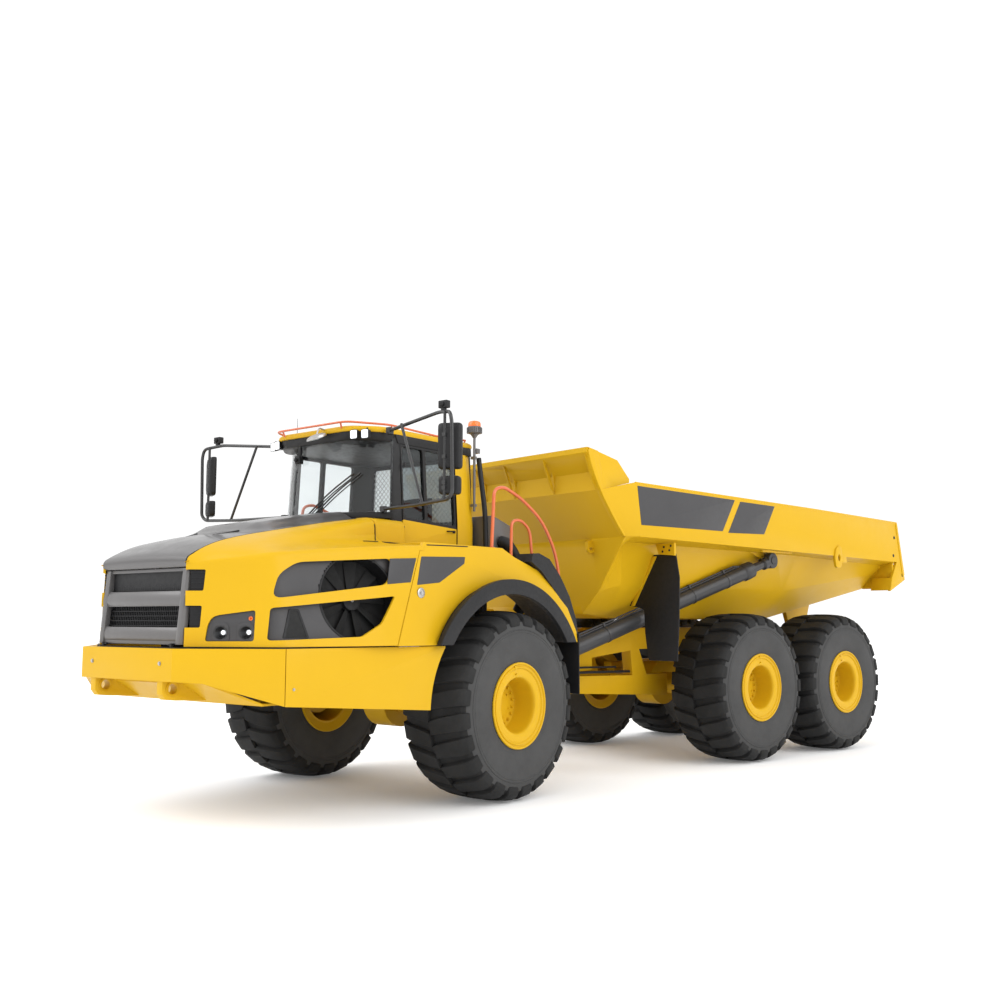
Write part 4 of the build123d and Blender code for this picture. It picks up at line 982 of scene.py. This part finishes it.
# wire guard inside the rear window
bm = new_bm()
for k in range(-34, 36):
    for sgn in (1, -1):
        x0 = k * 62
        a, b = Vector((x0, -905, 2712)), Vector((x0 + sgn * 640, -905, 3352))
        d = (b - a)
        t0 = max(0.0, min(1.0, ((-680 if d.x > 0 else 680) - a.x) / d.x))
        t1 = max(0.0, min(1.0, ((680 if d.x > 0 else -680) - a.x) / d.x))
        if t1 - t0 > 0.03:
            p, q = a + d * t0, a + d * t1
            n = Vector((d.z, 0, -d.x)).normalized() * 3.5
            add_prism(bm, [p - n, p + n, q + n, q - n], (0, 5, 0))
emit("rear_guard", bm, "tractor", BARE)

# door: yellow foot, black frame round the glass
bm = new_bm()
add_plate(bm, round_poly([(-1981, 2404), (-1189, 2404), (-1189, 2604), (-1981, 2648)], 10), [], side_plane(1), 50)
emit("door_skin", bm, "door_body", YELLOW, replaces=["cab_door"], bevel=5)
bm = new_bm()
add_plate(bm, [(-1981, 2640), (-1189, 2596), (-1189, 3392), (-1981, 3392)],
          [round_poly([(-1962, 2676), (-1662, 2660), (-1662, 3370), (-1962, 3370)], 34), round_poly([(-1622, 2658), (-1214, 2636), (-1214, 3370), (-1622, 3370)], 34)], side_plane(1, -1), 44)
for z in (2560, 3180):
    add_turned(bm, (814, -1990, z), (0, 0, 1), [(-24, 0), (-24, 12), (24, 12), (24, 0)], 20)
add_box(bm, 778, 806, -1250, -1215, 2560, 2588)
add_tube(bm, [(798, -1230, 2575), (822, -1235, 2575), (822, -1330, 2575), (798, -1338, 2575)], 7, 14, 10)
emit("door_frame", bm, "door_body", BLACK, bevel=3)
gl = new_bm()
add_plate(gl, [(-1970, 2668), (-1206, 2628), (-1206, 3378), (-1970, 3378)], [], side_plane(1, -20), 6)
emit("door_pane", gl, "door_body", GLASS, replaces=["door_glass"])

# roof: yellow cap over a black visor
ROOF_PLAN = round_poly([(742, -845), (742, -2225), (505, -2448), (-505, -2448), (-742, -2225), (-742, -845)], 95, 6)


def roof_ring(k, z, ky=None):
    ky = k if ky is None else ky
    return [(x * k, -1600 + (y + 1600) * ky, z + 10 * math.sin(math.pi * min(1, max(0, (x + 742) / 1484)))) for x, y in ROOF_PLAN]


bm = new_bm()
quad_strip(bm, [roof_ring(0.97, 3478), roof_ring(1.0, 3482), roof_ring(1.008, 3498), roof_ring(1.0, 3522), roof_ring(0.972, 3538), roof_ring(0.90, 3548), roof_ring(0.55, 3552)])
emit("roof_cap", bm, "tractor", YELLOW, replaces=["cab_roof"], smooth=math.radians(50))
bm = new_bm()
quad_strip(bm, [roof_ring(0.93, 3398), roof_ring(0.955, 3402), roof_ring(0.975, 3440), roof_ring(0.985, 3480)])
emit("roof_visor", bm, "tractor", BLACK, bevel=3, smooth=math.radians(45))
# rail round the roof
bm = new_bm()
pts = [(-700, -945, 3566), (-700, -1365, 3552), (-708, -2093, 3572), (-505, -2484, 3572), (505, -2484, 3572), (708, -2093, 3572), (700, -1365, 3552), (700, -945, 3566)]
add_tube(bm, pts, 11, 90, 12)
for x, y, z in ((-700, -950, 3560), (700, -950, 3560), (-704, -1500, 3556), (704, -1500, 3556), (-706, -2060, 3568), (706, -2060, 3568), (-420, -2470, 3568), (420, -2470, 3568)):
    add_tube(bm, [(x, y, z), (x * 0.97, y + (30 if y < -2300 else 0), 3500)], 9, 10, 10)
emit("roof_rail", bm, "tractor", ORANGE, smooth=math.radians(60))
# work lights
bm = new_bm()
bl = new_bm()
for s in (1, -1):
    for x in (556, 668):
        ax = Vector((s * 0.12, -0.98, -0.05)).normalized()
        u = Vector((0, 0, 1)).cross(ax).normalized()
        w = ax.cross(u)
        c = Vector((s * x, -2402 - (620 - x) * 0.34, 3448))
        def ring(r, d, rr=14):
            return [c + u * a + w * b + ax * d for a, b in round_poly([(-r, -r), (r, -r), (r, r), (-r, r)], rr)]
        quad_strip(bm, [ring(26, -55), ring(38, -45), ring(43, -8), ring(44, 4), ring(41, 5), ring(41, 1)])
        quad_strip(bl, [ring(40, 0), ring(39, 4), ring(28, 8)])
        add_cyl(bm, c + Vector((0, 20, 30)), c + Vector((0, 34, 62)), 8, 12)
emit("work_lights", bm, "tractor", BLACK, smooth=math.radians(40))
emit("work_light_lenses", bl, "tractor", LENS, smooth=math.radians(40))
# wipers, camera boxes, round mirror, aerial
bm = new_bm()
for x0, a0, a1 in ((60, 3, 31), (-40, -2.5, 27.5)):
    lo, hi = arc(1004, math.radians(a0), 2700), arc(992, math.radians(a1), 3095, 14)
    mid = arc(1012, math.radians((a0 + a1) / 2), 2900, 8)
    add_tube(bm, [lo, mid, hi], 8, 200, 8)
    lo2, hi2 = arc(1002, math.radians(a0 + 2.6), 2705), arc(996, math.radians(a1 + 1.4), 3080, 14)
    add_tube(bm, [lo2, arc(1008, math.radians((a0 + a1) / 2 + 2), 2893, 8), hi2], 6, 200, 8)
    add_cyl(bm, lo + Vector((0, 20, -40)), lo + Vector((0, -8, 10)), 18, 16)
emit("wipers", bm, "tractor", BLACK_SATIN, smooth=math.radians(50))
bm = new_bm()
add_box(bm, -270, -200, -2440, -2380, 3230, 3310)
add_cyl(bm, (-235, -2440, 3270), (-235, -2466, 3262), 22, 20, 18)
add_box(bm, -250, -218, -2410, -2380, 3300, 3405)
for s in (1, -1):
    add_box(bm, *sorted((s * 1585, s * 1685)), -2370, -2310, 3585, 3655)
    add_box(bm, *sorted((s * 1612, s * 1660)), -2365, -2330, 3540, 3590)
    add_cyl(bm, (s * 1635, -2370, 3620), (s * 1635, -2392, 3616), 26, 20, 22)
emit("camera_boxes", bm, "tractor", BLACK, bevel=8, segments=3)
bm = new_bm()
ax = Vector((0.10, 0.35, -0.93))
add_turned(bm, (170, -2545, 3440), ax, [(-34, 0), (-30, 60), (-12, 98), (4, 105), (10, 104), (10, 98), (16, 60), (20, 0)], 36)
add_tube(bm, [(170, -2545, 3470), (166, -2520, 3540), (166, -2440, 3530)], 8, 40, 8)
emit("round_mirror", bm, "tractor", BARE, smooth=math.radians(40))
bm = new_bm()
add_cyl(bm, (-610, -2120, 3540), (-604, -2122, 3778), 4, 8, 2)
add_cyl(bm, (-610, -2120, 3536), (-609, -2120, 3566), 13, 12, 7)
emit("aerial", bm, "tractor", BLACK_SATIN)

# ---------------------------------------------------------------- mirrors
def mirror_side(s):
    bm, hd, fc = new_bm(), new_bm(), new_bm()
    S = lambda pts: [(s * x, y, z) for x, y, z in pts]
    add_tube(bm, S([(790, -2188, 3488), (1565, -2330, 3560), (1772, -2418, 3528), (1800, -2425, 3440), (1800, -2410, 2800), (1740, -2400, 2745), (1300, -2330, 2730), (722, -2170, 2740)]), 17, 60, 14)
    add_tube(bm, S([(1700, -2405, 3545), (1700, -2405, 2745)]), 14, 10, 12)
    add_tube(bm, S([(1050, -2285, 3515), (1380, -2345, 2735)]), 14, 10, 12)
    for z in (3330, 3130, 2900, 2850):
        add_box(bm, *sorted((s * 1680, s * 1722)), -2422, -2372, z - 16, z + 16)
    add_box(bm, *sorted((s * 780, s * 830)), -2215, -2160, 3455, 3520)
    add_box(bm, *sorted((s * 690, s * 745)), -2195, -2145, 2715, 2765)
    for x0, x1, z0, z1 in ((1610, 1830, 3020, 3440), (1620, 1820, 2790, 2960)):
        pts = round_poly([(x0, z0), (x1, z0), (x1, z1), (x0, z1)], 38, 5)
        cxm, czm = (x0 + x1) / 2, (z0 + z1) / 2
        turn = math.radians(26)
        ct, st = math.cos(turn), math.sin(turn)

        def at(u, y, z, s=s, cxm=cxm, ct=ct, st=st):
            v = y + 2352
            return (s * (cxm + u * ct - v * st), -2352 + u * st + v * ct, z)

        rings = [[at((x - cxm) * k, y, czm + (z - czm) * k) for x, z in pts] for k, y in ((0.72, -2398), (0.90, -2391), (0.985, -2374), (1.0, -2352), (1.0, -2328), (0.97, -2324), (0.965, -2330))]
        quad_strip(hd, rings)
        quad_strip(fc, [[at((x - cxm) * k, y, czm + (z - czm) * k) for x, z in pts] for k, y in ((0.95, -2334), (0.95, -2326))])
    return bm, hd, fc


tubes, heads, faces = new_bm(), new_bm(), new_bm()
for s in (1, -1):
    for part, into in zip(mirror_side(s), (tubes, heads, faces)):
        me_ = bpy.data.meshes.new("tmp")
        part.to_mesh(me_)
        part.free()
        into.from_mesh(me_)
        bpy.data.meshes.remove(me_)
emit("mirror_frames", tubes, "tractor", BLACK_SATIN, replaces=["mirrors"], smooth=math.radians(50))
emit("mirror_heads", heads, "tractor", BLACK, smooth=math.radians(50))
emit("mirror_faces", faces, "tractor", MIRROR)

# ---------------------------------------------------------------- handrails, beacon, seat
bm = new_bm()
for s in (1, -1):
    S = lambda pts: [(s * x, y, z) for x, y, z in pts]
    add_tube(bm, S([(1400, -1363, 2378), (1400, -1325, 2960), (1400, -1180, 3000), (1400, -901, 2915), (1400, -536, 2712), (1400, -300, 2400), (1400, -215, 2050), (1400, -196, 1780)]), 17, 170, 14)
    add_tube(bm, S([(1400, -1056, 2290), (1400, -1046, 2668), (1400, -900, 2692), (1400, -745, 2600), (1400, -690, 2170)]), 15, 110, 14)
    for x, y, z in ((1400, -1363, 2381), (1400, -1056, 2292)):
        add_cyl(bm, (s * x, y, z - 4), (s * x, y, z + 8), 34, 20)
emit("handrail_tubes", bm, "tractor", ORANGE, replaces=["handrails"], smooth=math.radians(50))
bm, bl = new_bm(), new_bm()
add_tube(bm, [(825, -943, 2806), (825, -943, 3640)], 14, 10, 12)
for z in (2870, 3370):
    add_box(bm, 790, 845, -963, -923, z - 14, z + 14)
add_turned(bm, (825, -943, 3600), (0, 0, 1), [(-20, 16), (0, 30), (16, 40), (28, 70), (36, 76), (92, 74), (104, 62), (104, 0)], 36)
for k in range(24):
    a = 2 * math.pi * k / 24
    c, d = math.cos(a), math.sin(a)
    add_prism(bm, [(825 + c * 70 - d * 4, -943 + d * 70 + c * 4, 3630), (825 + c * 82 - d * 4, -943 + d * 82 + c * 4, 3630), (825 + c * 82 + d * 4, -943 + d * 82 - c * 4, 3630), (825 + c * 70 + d * 4, -943 + d * 70 - c * 4, 3630)], (0, 0, 58))
add_box(bm, 800, 850, -935, -880, 3420, 3470)
add_turned(bl, (825, -943, 3700), (0, 0, 1), [(0, 0), (0, 68), (36, 66), (52, 56), (60, 34), (61, 0)], 32)
emit("beacon_base", bm, "tractor", GREY_FRAME, replaces=["beacon"])
emit("beacon_lens", bl, "tractor", AMBER, smooth=math.radians(50))


def cushion(bm, centre, half, crown, lean=0.0, nx=14, ny=12):
    """Padded slab: crowned faces, drawn-in corners and two sewn channels."""
    c = Vector(centre)
    hx, hy, hz = half
    rot = Matrix.Rotation(lean, 3, "X")
    top, low = {}, {}
    for i in range(nx + 1):
        for j in range(ny + 1):
            u, v = -1 + 2 * i / nx, -1 + 2 * j / ny
            r = 1 - 0.07 * (abs(u) * abs(v)) ** 3
            puff = (1 - u ** 4) * (1 - v ** 4)
            seam = 0.18 * math.exp(-((abs(u) - 0.52) / 0.06) ** 2) * (1 - v ** 6)
            edge = 0.45 + 0.55 * (1 - max(abs(u), abs(v)) ** 6)
            z = hz * edge + crown * (puff - seam)
            top[i, j] = bm.verts.new(c + rot @ Vector((u * hx * r, v * hy * r, z)))
            low[i, j] = bm.verts.new(c + rot @ Vector((u * hx * r, v * hy * r, -hz * edge)))
    for i in range(nx):
        for j in range(ny):
            bm.faces.new((top[i, j], top[i + 1, j], top[i + 1, j + 1], top[i, j + 1]))
            bm.faces.new((low[i, j + 1], low[i + 1, j + 1], low[i + 1, j], low[i, j]))
    rim = [(i, 0) for i in range(nx)] + [(nx, j) for j in range(ny)] + [(i, ny) for i in range(nx, 0, -1)] + [(0, j) for j in range(ny, 0, -1)]
    for a, b in zip(rim, rim[1:] + rim[:1]):
        bm.faces.new((low[a], low[b], top[b], top[a]))


bm = new_bm()
cushion(bm, (0, -1255, 2372), (245, 232, 46), 26, 0.03)
cushion(bm, (0, -975, 2700), (235, 45 + 255, 38), 22, math.radians(83))
seat_o = emit("seat_cushions", bm, "tractor", SEAT, replaces=["driver_seat"], smooth=math.radians(70), subsurf=1)
bm = new_bm()
add_turned(bm, (0, -1250, 1965), (0, 0, 1), [(0, 0), (0, 170), (30, 170), (60, 130), (230, 130), (280, 180), (318, 190), (330, 0)], 32)
add_box(bm, -235, 235, -1470, -1030, 2290, 2325)
add_box(bm, -215, 215, -940, -915, 2380, 2990)
for s in (1, -1):
    add_box(bm, *sorted((s * 270, s * 330)), -1400, -1040, 2560, 2600)
    add_box(bm, *sorted((s * 285, s * 315)), -1100, -1060, 2300, 2565)
emit("seat_base", bm, "tractor", BLACK, bevel=6)

# ---------------------------------------------------------------- behind the cab
bm = new_bm()
prof = [(-835, 2052), (-470, 2052), (-470, 2630), (-490, 2668), (-800, 2762), (-835, 2766)]
for s, k in ((1, 1.0), (-1, 0.93)):
    pr = [(y, 2050 + (z - 2050) * k) for y, z in prof]
    prism_x(bm, pr, *sorted((s * 382, s * 978)))
    for j in range(6):
        y = -770 + 50 * j
        z = 2050 + (2728 - 2050 - 15 * j - 22) * k
        add_box(bm, *sorted((s * 450, s * 910)), y - 14, y + 14, z, z + 30)
emit("filter_housings", bm, "tractor", GREY_FRAME, replaces=["air_cleaner_box"], bevel=12, segments=3)
bm = new_bm()
for x, off in ((700, 0), (640, 30), (580, 10), (-600, 0), (-660, 24)):
    add_tube(bm, [(x, -840, 2340), (x, -800, 2480 + off), (x, -745, 2440 + off)], 22, 60, 12)
add_tube(bm, [(985, -700, 2500), (1060, -690, 2480), (1090, -600, 2360), (1090, -470, 2120), (1060, -400, 1900), (980, -390, 1780)], 62, 160, 20)
for s in (1, -1):
    add_tube(bm, [(s * 905, -845, 2420), (s * 890, -842, 2800), (s * 800, -842, 3380)], 27, 120, 12)
    over = [(-930, 2262), (-900, 2345), (-800, 2352), (-620, 2300), (-430, 2130), (-270, 1930), (-150, 1690), (-112, 1500), (-190, 1500), (-232, 1600), (-344, 1806), (-560, 2010), (-755, 2170)]
    prism_x(bm, over, *sorted((s * 1345, s * 1560)))
emit("rear_ducts", bm, "tractor", BLACK, smooth=math.radians(45))
bm, bl = new_bm(), new_bm()
for s in (1, -1):
    c = Vector((s * 1230, -640, 2205))
    add_turned(bm, c, (0.25 * s, 0.97, 0), [(-60, 0), (-56, 40), (-30, 62), (10, 66), (14, 60), (8, 56)], 28)
    add_turned(bl, c, (0.25 * s, 0.97, 0), [(6, 57), (12, 40), (14, 0)], 28)
    add_box(bm, *sorted((s * 1200, s * 1260)), -720, -660, 2120, 2205)
emit("rear_work_lights", bm, "tractor", BLACK)
emit("rear_work_lenses", bl, "tractor", LENS)

# ---------------------------------------------------------------- load body details
bm = new_bm()
for s in (1, -1):
    for pts in ([(958, 3160), (2754, 3136), (2500, 2744), (1018, 2730)], [(2868, 3126), (3595, 3119), (3353, 2753), (2611, 2731)]):
        add_plate(bm, round_poly(pts, 6, 2), [], lambda a, b, d, s=s: Vector((s * (1690.5 - d), a, b)), 6)
emit("body_panels", bm, "dump_body", PANEL, bevel=1.0)
bm = new_bm()
for s in (1, -1):
    # rolled rim along the top, front corner rib and the fold's welded lip
    add_tube(bm, [(s * 1676, 935, 3190), (s * 1676, 4500, 3144), (s * 1676, 6690, 3098)], 15, 200, 10)
    # lifting plates: front face and side
    add_plate(bm, round_poly([(4992, 2650), (4960, 2520), (4990, 2392), (5110, 2392), (5150, 2500), (5130, 2670), (5080, 2700)], 44), [[(5066 + 30 * math.cos(2 * math.pi * k / 20), 2530 + 46 * math.sin(2 * math.pi * k / 20)) for k in range(20)]], lambda a, b, d, s=s: Vector((s * (1706 - d), a, b)), 34)
    c = Vector((s * 1080, 838, 2492))
    add_turned(bm, c, (1, 0, 0), [(-20, 26), (-20, 56), (20, 56), (20, 26)], 28, closed=True)
    # tail cheek: stiffening strip
    add_prism(bm, [(s * 1687, 6800, 2330), (s * 1687, 6852, 2352), (s * 1687, 6690, 3085), (s * 1687, 6650, 3085)], (s * 8, 0, 0))
    # closed end under the chute's tail
    add_prism(bm, [(s * 1180, 6560, 2150), (s * 1180, 6560, 2192), (s * 1400, 6560, 2392), (s * 1500, 6560, 2492), (s * 1660, 6560, 2545), (s * 1660, 6560, 2300), (s * 1560, 6560, 2150)], (0, 40, 0))
    add_prism(bm, [(s * 1380, 6440, 2120), (s * 1380, 6690, 2210), (s * 1380, 6800, 2245), (s * 1380, 6760, 2330), (s * 1380, 6500, 2300)], (s * 300, 0, 0))
for s in (1, -1):
    add_prism(bm, [(s * 1440, 1604, 2440), (s * 1672, 1604, 2418), (s * 1672, 1604, 2560), (s * 1400, 1604, 2560)], (0, 28, 0))
    add_prism(bm, [(s * 1005, 1610, 1850), (s * 1340, 1610, 2420), (s * 1395, 1610, 2420), (s * 1050, 1610, 1850)], (0, 22, 0))
def rib(x0, x1, pts):
    prism_x(bm, pts, *sorted((x0, x1)))


for s in (1, -1):
    for x in (260, 900):
        curve = [(452 - 190 * (1 - math.cos(t * math.pi / 2)) , 3100 + 372 * math.sin(t * math.pi / 2)) for t in [k / 10 for k in range(11)]]
        rib(s * (x - 10), s * (x + 10), [(458, 3100)] + curve[::-1][-1:] + curve[1:] + [(300, 3500), (458, 3300)])
    # broad rib that sweeps from the guard's lip down to the fold
    edge = [(262, 3500), (300, 3380), (352, 3260), (412, 3150), (500, 3010), (620, 2850), (740, 2700), (828, 2604)]
    rib(s * 1545, s * 1603, edge + [(868, 2604), (790, 2712), (670, 2862), (552, 3022), (470, 3150), (420, 3280), (380, 3420), (330, 3520)])
    quad_strip(bm, [[(s * 1590, 470, 3090), (s * 1590, 268, 3528), (s * 1602, 268, 3528), (s * 1602, 470, 3090)], [(s * 1590, 480, 3300), (s * 1590, 420, 3502), (s * 1602, 420, 3502), (s * 1602, 480, 3300)]])
emit("body_fittings", bm, "dump_body", YELLOW, bevel=4)
bm = new_bm()
for s in (1, -1):
    for y, z in ((6600, 2880), (6800, 2345), (6560, 2620)):
        add_turned(bm, (s * 1687, y, z), (s, 0, 0), [(-2, 0), (-2, 22), (3, 22), (3, 13), (1, 12), (1, 0)], 24)
    # bolts along the sheet's sloping edge
    for k in range(6):
        t = k / 5
        add_bolt(bm, (s * (1010 + 330 * t), 1628, 1900 + 480 * t), (0, -1, 0), 9, 8)
    for x, z in ((1500, 2470), (1600, 2480), (1520, 2520), (1620, 2530)):
        add_bolt(bm, (s * x, 1604, z), (0, -1, 0), 10, 8)
emit("body_bolts", bm, "dump_body", BLACK)

# ---------------------------------------------------------------- hoist details, ride on the barrels and rods
FOOT, EYE = Vector((856.0, 640.0, 1317.0)), Vector((1500.0, 3760.0, 2448.0))
for tag, s in (("left", 1), ("right", -1)):
    bm = new_bm()
    f, e = Vector((s * FOOT.x, FOOT.y, FOOT.z)), Vector((s * EYE.x, EYE.y, EYE.z))
    d = (e - f).normalized()
    up = (Vector((0, 0, 1)) - d * d.z).normalized()
    add_turned(bm, f, d, [(112, 60), (112, 92), (150, 96), (170, 92), (2840, 91), (2860, 98), (2872, 108), (2960, 108), (2968, 100), (3004, 100), (3014, 92), (3016, 58)], 40)
    for o in (70, 96):
        p0, p1 = f + d * 260 + up * (o + 30), f + d * 2760 + up * (o + 30)
        add_tube(bm, [f + d * 200 + up * 88, p0, p1, f + d * 2850 + up * 92], 11, 40, 10)
    for t in (620, 1300, 1980, 2560):
        add_turned(bm, f + d * t, d, [(-16, 90), (-16, 97), (16, 97), (16, 90)], 36, closed=True)
        side = d.cross(up)
        quad_strip(bm, [[f + d * (t - 12) + side * a + up * b for a, b in ((-22, 90), (22, 90), (22, 142), (-22, 142))], [f + d * (t + 12) + side * a + up * b for a, b in ((-22, 90), (22, 90), (22, 142), (-22, 142))]])
    emit("hoist_sleeve_" + tag, bm, "hoist_cylinder_" + tag, STEEL_DARK, matrix=LOAD_M, smooth=math.radians(40))
    bm = new_bm()
    add_turned(bm, e, (s, 0, 0), [(-37, 50), (-42, 52), (-42, 96), (-30, 100), (30, 100), (42, 96), (42, 52), (37, 50)], 36)
    add_turned(bm, e, (s, 0, 0), [(-40, 0), (-40, 46), (-48, 44), (-48, 0)], 28)
    add_turned(bm, e, (s, 0, 0), [(48, 0), (48, 44), (40, 46), (40, 0)], 28)
    add_turned(bm, e, -d, [(80, 60), (96, 78), (150, 78), (168, 60)], 28)
    emit("hoist_eye_" + tag, bm, "hoist_ram_" + tag, STEEL_DARK, matrix=LOAD_M, smooth=math.radians(40))
# pipes and blocks on the frames
bm = new_bm()
for s in (1, -1):
    add_tube(bm, [(s * 500, 760, 1060), (s * 505, 1400, 1070), (s * 500, 2150, 1060)], 16, 60, 10)
    add_tube(bm, [(s * 500, 760, 1100), (s * 520, 1300, 1130), (s * 500, 1900, 1120)], 12, 60, 10)
    add_tube(bm, [(s * 560, 900, 1480), (s * 600, 1500, 1600), (s * 620, 2300, 1640)], 14, 60, 10)
emit("frame_pipes", bm, "load_chassis", BLACK)
bm = new_bm()
for s in (1, -1):
    add_box(bm, *sorted((s * 500, s * 640)), 700, 900, 1420, 1600)
    add_plate(bm, round_poly([(690, 1560), (690, 1780), (740, 1820), (900, 1820), (920, 1600)], 20), [[(790 + 24 * math.cos(2 * math.pi * k / 16), 1720 + 24 * math.sin(2 * math.pi * k / 16)) for k in range(16)]], lambda a, b, d, s=s: Vector((s * (640 - d), a, b)), 24)
emit("frame_brackets", bm, "load_chassis", YELLOW_DEEP, bevel=5)

# ---------------------------------------------------------------- materials on the carried-over nodes
CAD_LOOKS = {
    "engine_block": CAST, "driver_seat": SEAT, "steering_console": BLACK, "cab_floor": BLACK, "fan_cowls": BLACK,
    "air_cleaner_box": BLACK, "rear_deck": BLACK, "mirrors": BLACK_SATIN, "handrails": ORANGE, "beacon": BLACK,
    "headlights": PANEL, "grille": GREY_FRAME, "bed_flaps": RUBBER, "wheel_arches": RUBBER,
    "hoist_barrel_left": STEEL_DARK, "hoist_barrel_right": STEEL_DARK, "steering_barrel_left": STEEL_DARK, "steering_barrel_right": STEEL_DARK,
    "hoist_rod_left": STEEL_DARK, "hoist_rod_right": STEEL_DARK, "steering_rod_left": CHROME, "steering_rod_right": CHROME,
    "door_glass": GLASS, "cab_windows": GLASS,
}
for name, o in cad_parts.items():
    mat = CAD_LOOKS.get(name, YELLOW)
    if not o.material_slots:
        o.data.materials.append(mat)
    for s_ in o.material_slots:
        s_.link = "OBJECT"
        s_.material = mat

# ---------------------------------------------------------------- floor, light, camera
def stage_floor():
    me = bpy.data.meshes.new("floor")
    r = 300.0
    me.from_pydata([(-r, -r, 0), (r, -r, 0), (r, r, 0), (-r, r, 0)], [], [(0, 1, 2, 3)])
    o = bpy.data.objects.new("floor", me)
    bpy.context.scene.collection.objects.link(o)
    m, nt, b = principled("floor", (0.95, 0.95, 0.95), 0.9, spec=0.1)
    b.inputs["Emission Color"].default_value = (1.0, 1.0, 1.0, 1)
    b.inputs["Emission Strength"].default_value = 0.10
    me.materials.append(m)


stage_floor()
world = bpy.data.worlds.new("studio")
bpy.context.scene.world = world
world.use_nodes = True
world.node_tree.nodes["Background"].inputs["Color"].default_value = (1.0, 1.0, 1.0, 1)
world.node_tree.nodes["Background"].inputs["Strength"].default_value = 1.08


def sun(name, toward, strength, angle):
    """Broad soft light; toward points from the truck to the light."""
    d = bpy.data.lights.new(name, "SUN")
    d.energy = strength
    d.angle = math.radians(angle)
    o = bpy.data.objects.new(name, d)
    bpy.context.scene.collection.objects.link(o)
    o.rotation_mode = "QUATERNION"
    o.rotation_quaternion = (-Vector(toward)).to_track_quat("-Z", "Y")


sun("key", (-0.35, -0.65, 0.70), 1.55, 50)
sun("side", (0.85, 0.15, 0.50), 1.45, 50)

cam_data = bpy.data.cameras.new("camera")
cam_data.sensor_width = 36.0
cam_data.lens = 1093.99 / 1000 * 36.0
cam_data.clip_end = 900
cam = bpy.data.objects.new("camera", cam_data)
bpy.context.scene.collection.objects.link(cam)
CAM_AT = Vector(((9543.64 + SX) / 1000, (-8210.63 + SY) / 1000, (1674.94 + SZ) / 1000))
yaw, pitch, roll = math.radians(-47.8), math.radians(6.306), math.radians(0.116)
look = Vector((math.cos(pitch) * math.sin(yaw), math.cos(pitch) * math.cos(yaw), math.sin(pitch)))
cam.location = CAM_AT
cam.rotation_mode = "QUATERNION"
cam.rotation_quaternion = look.to_track_quat("-Z", "Y") @ Matrix.Rotation(roll, 4, "Z").to_quaternion()
bpy.context.scene.camera = cam
bpy.context.scene.view_settings.view_transform = "Standard"
bpy.context.scene.view_settings.look = "None"
